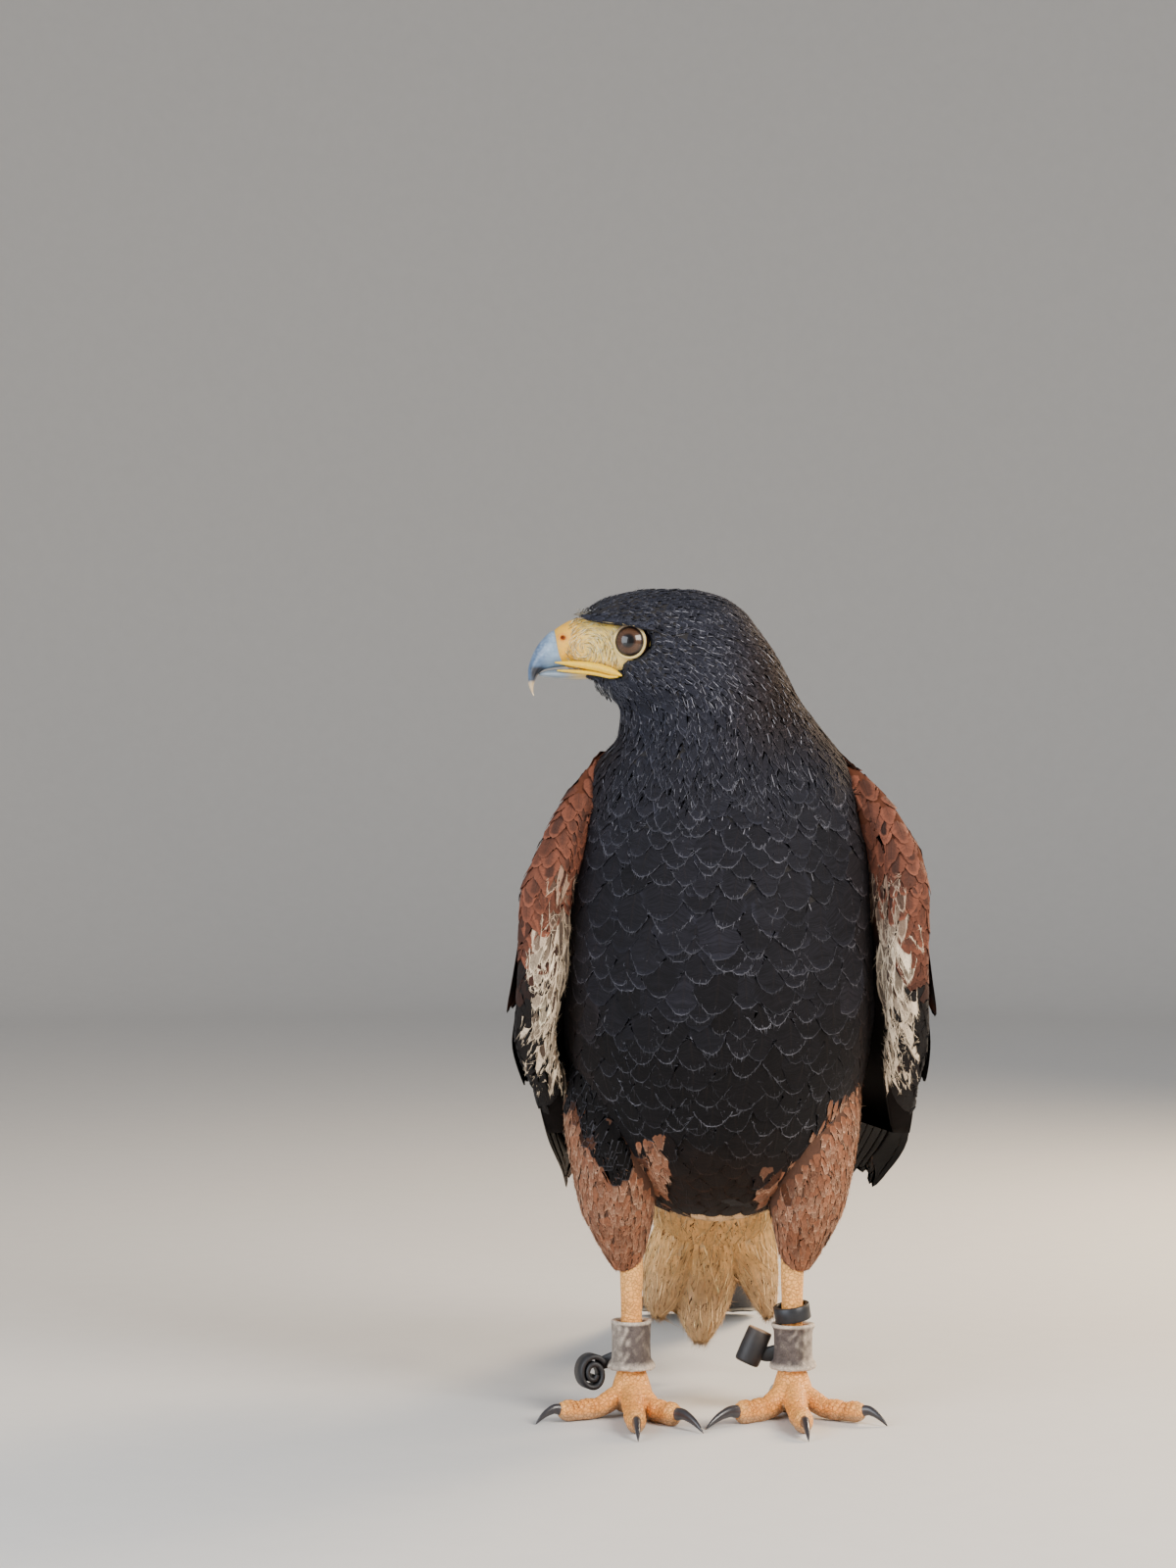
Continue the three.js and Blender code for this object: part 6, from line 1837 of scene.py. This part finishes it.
def strapEnds(material):
    # The one by the left leg is a tight roll seen from its side, with its cut end up.
    axis = unit(np.array([0.45, 0.1, 1.0]))
    middle = np.array([16.4, 8, 30.6])
    across = unit(np.cross(axis, (0, 1.0, 0)))
    length = 16.5
    stops = [
        (-0.52, 4.4), (-0.5, 5.4), (-0.44, 5.8), (0, 5.9), (0.44, 5.8), (0.5, 5.4), (0.505, 4.2), (0.46, 3.6),
        (0.47, 2.2), (0.45, 0.8),
    ]
    turn = around(40)[:, None]
    circle = np.cos(turn) * across + 0.95 * np.sin(turn) * np.cross(across, axis)
    rings = [middle + axis * length * t + r * circle for t, r in stops]

    def rollPaint(points, u, v, middle=middle):
        cut = smooth(0.435, 0.47, ((points - middle) @ axis) / length)
        return blend(legColours["black"], legColours["cut"], cut * 0.9)

    roll = roundPiece("roll_left", rings, rollPaint)
    stops = [((18, 8, 27), 2.6, 1.1), ((22, 7, 27), 3.4, 1.2), ((27, 6, 28), 3.6, 1.2), ((31, 5, 29), 3.4, 1.1)]
    strap = pathRings(fineStops(stops, 20), 16, (0, 0, 1))
    left = joined("strap_roll_left", [roll, roundPiece("strap_left", strap, legColours["black"])])
    finishPiece(left, material, "strap_leather", ("strap_end_left",))

    # The one by the right leg is a strip coiled up, with its spiral end to the front.
    turn = np.linspace(0.4 * np.pi, 4.1 * np.pi, 120)
    radius = 1.0 + turn / (2 * np.pi) * 2.75
    squash = 1.25
    direction = unit(np.array([0.25, -1, 0.1]))
    sideWay = unit(np.cross(direction, (0, 0, 1.0)))
    upWay = np.cross(sideWay, direction)
    middle = np.array([-58.6, 6, 18.4])
    rings = []
    for angle, r in zip(turn + 2.2, radius):
        out = np.cos(angle) * sideWay + squash * np.sin(angle) * upWay
        corners = [(-6.2, -0.95), (-6.6, 0), (-6.2, 0.95), (6.2, 0.95), (6.6, 0), (6.2, -0.95)]
        rings.append([middle + out * (r + thick) + direction * deep for deep, thick in corners])
    coil = roundPiece("coil_right", rings, legColours["black"])
    stops = [((-56, 7, 22), 2.4, 1.1), ((-51, 6, 24), 3.2, 1.2), ((-46, 5, 26), 3.4, 1.2)]
    strap = pathRings(fineStops(stops, 20), 16, (0, 0, 1))
    right = joined("strap_coil_right", [coil, roundPiece("strap_right", strap, legColours["black"])])
    finishPiece(right, material, "strap_leather", ("strap_end_right",))


def legRing(material):
    profile = [
        (6.7, -3.1), (6.75, -3.4), (8.1, -3.45), (8.35, -3.2), (8.35, 3.2), (8.1, 3.45), (6.75, 3.4), (6.7, 3.1),
        (6.7, 0),
    ]
    tiltX, tiltY = math.radians(5), math.radians(-9)
    turn = around(64)
    rings = []
    for r, z in profile:
        x, y, z = r * np.cos(turn), r * np.sin(turn), np.full(64, float(z))
        x, z = x * math.cos(tiltY) + z * math.sin(tiltY), -x * math.sin(tiltY) + z * math.cos(tiltY)
        y, z = y * math.cos(tiltX) - z * math.sin(tiltX), y * math.sin(tiltX) + z * math.cos(tiltX)
        rings.append(stack(legX["left"] + x, legY + y, 47.0 + z))
    points = np.concatenate([np.array(rings), np.array(rings)[:1]])
    points = np.concatenate([points, points[:, :1]], 1)
    colour = np.tile((*legColours["ring"], 1), (points.shape[0] * points.shape[1], 1))
    band = weld(meshOf("ring_band", points.reshape(-1, 3), gridQuads(*points.shape[:2]), None, {"baseColour": colour}))
    finishPiece(band, material, "ring_metal", ("leg_ring",))


def legs():
    scaly = plainMaterial("scaly_skin", {
        "grain": 700.0, "cells": 560.0, "groove": 0.14, "grooveShade": 0.34, "bump": 0.7, "depth": 0.0004,
        "roughness": 0.5, "dark": 0.8, "light": 1.16, "soft": 0.1,
    })
    horn = plainMaterial("claw_horn", {
        "grain": 400.0, "bump": 0.1, "depth": 0.0002, "roughness": 0.28, "coat": 0.3, "dark": 0.8, "light": 1.3,
    })
    leather = plainMaterial("worn_leather", {
        "grain": 420.0, "cells": 900.0, "grooveShade": 0.2, "bump": 0.6, "depth": 0.0005, "roughness": 0.82,
        "gloss": 0.25, "dark": 0.6, "light": 1.5,
    })
    black = plainMaterial("black_leather", {
        "grain": 500.0, "bump": 0.35, "depth": 0.0003, "roughness": 0.5, "dark": 0.75, "light": 1.4,
    })
    metal = plainMaterial("ring_metal", {
        "grain": 300.0, "bump": 0.08, "depth": 0.0002, "roughness": 0.42, "metal": 0.6, "dark": 0.85, "light": 1.2,
    })
    for sideName in ("left", "right"):
        shank(sideName, scaly)
        foot(sideName, scaly)
        claws(sideName, horn)
        cuff(sideName, leather)
    strapEnds(black)
    legRing(metal)
    print("legs ready")


legs()
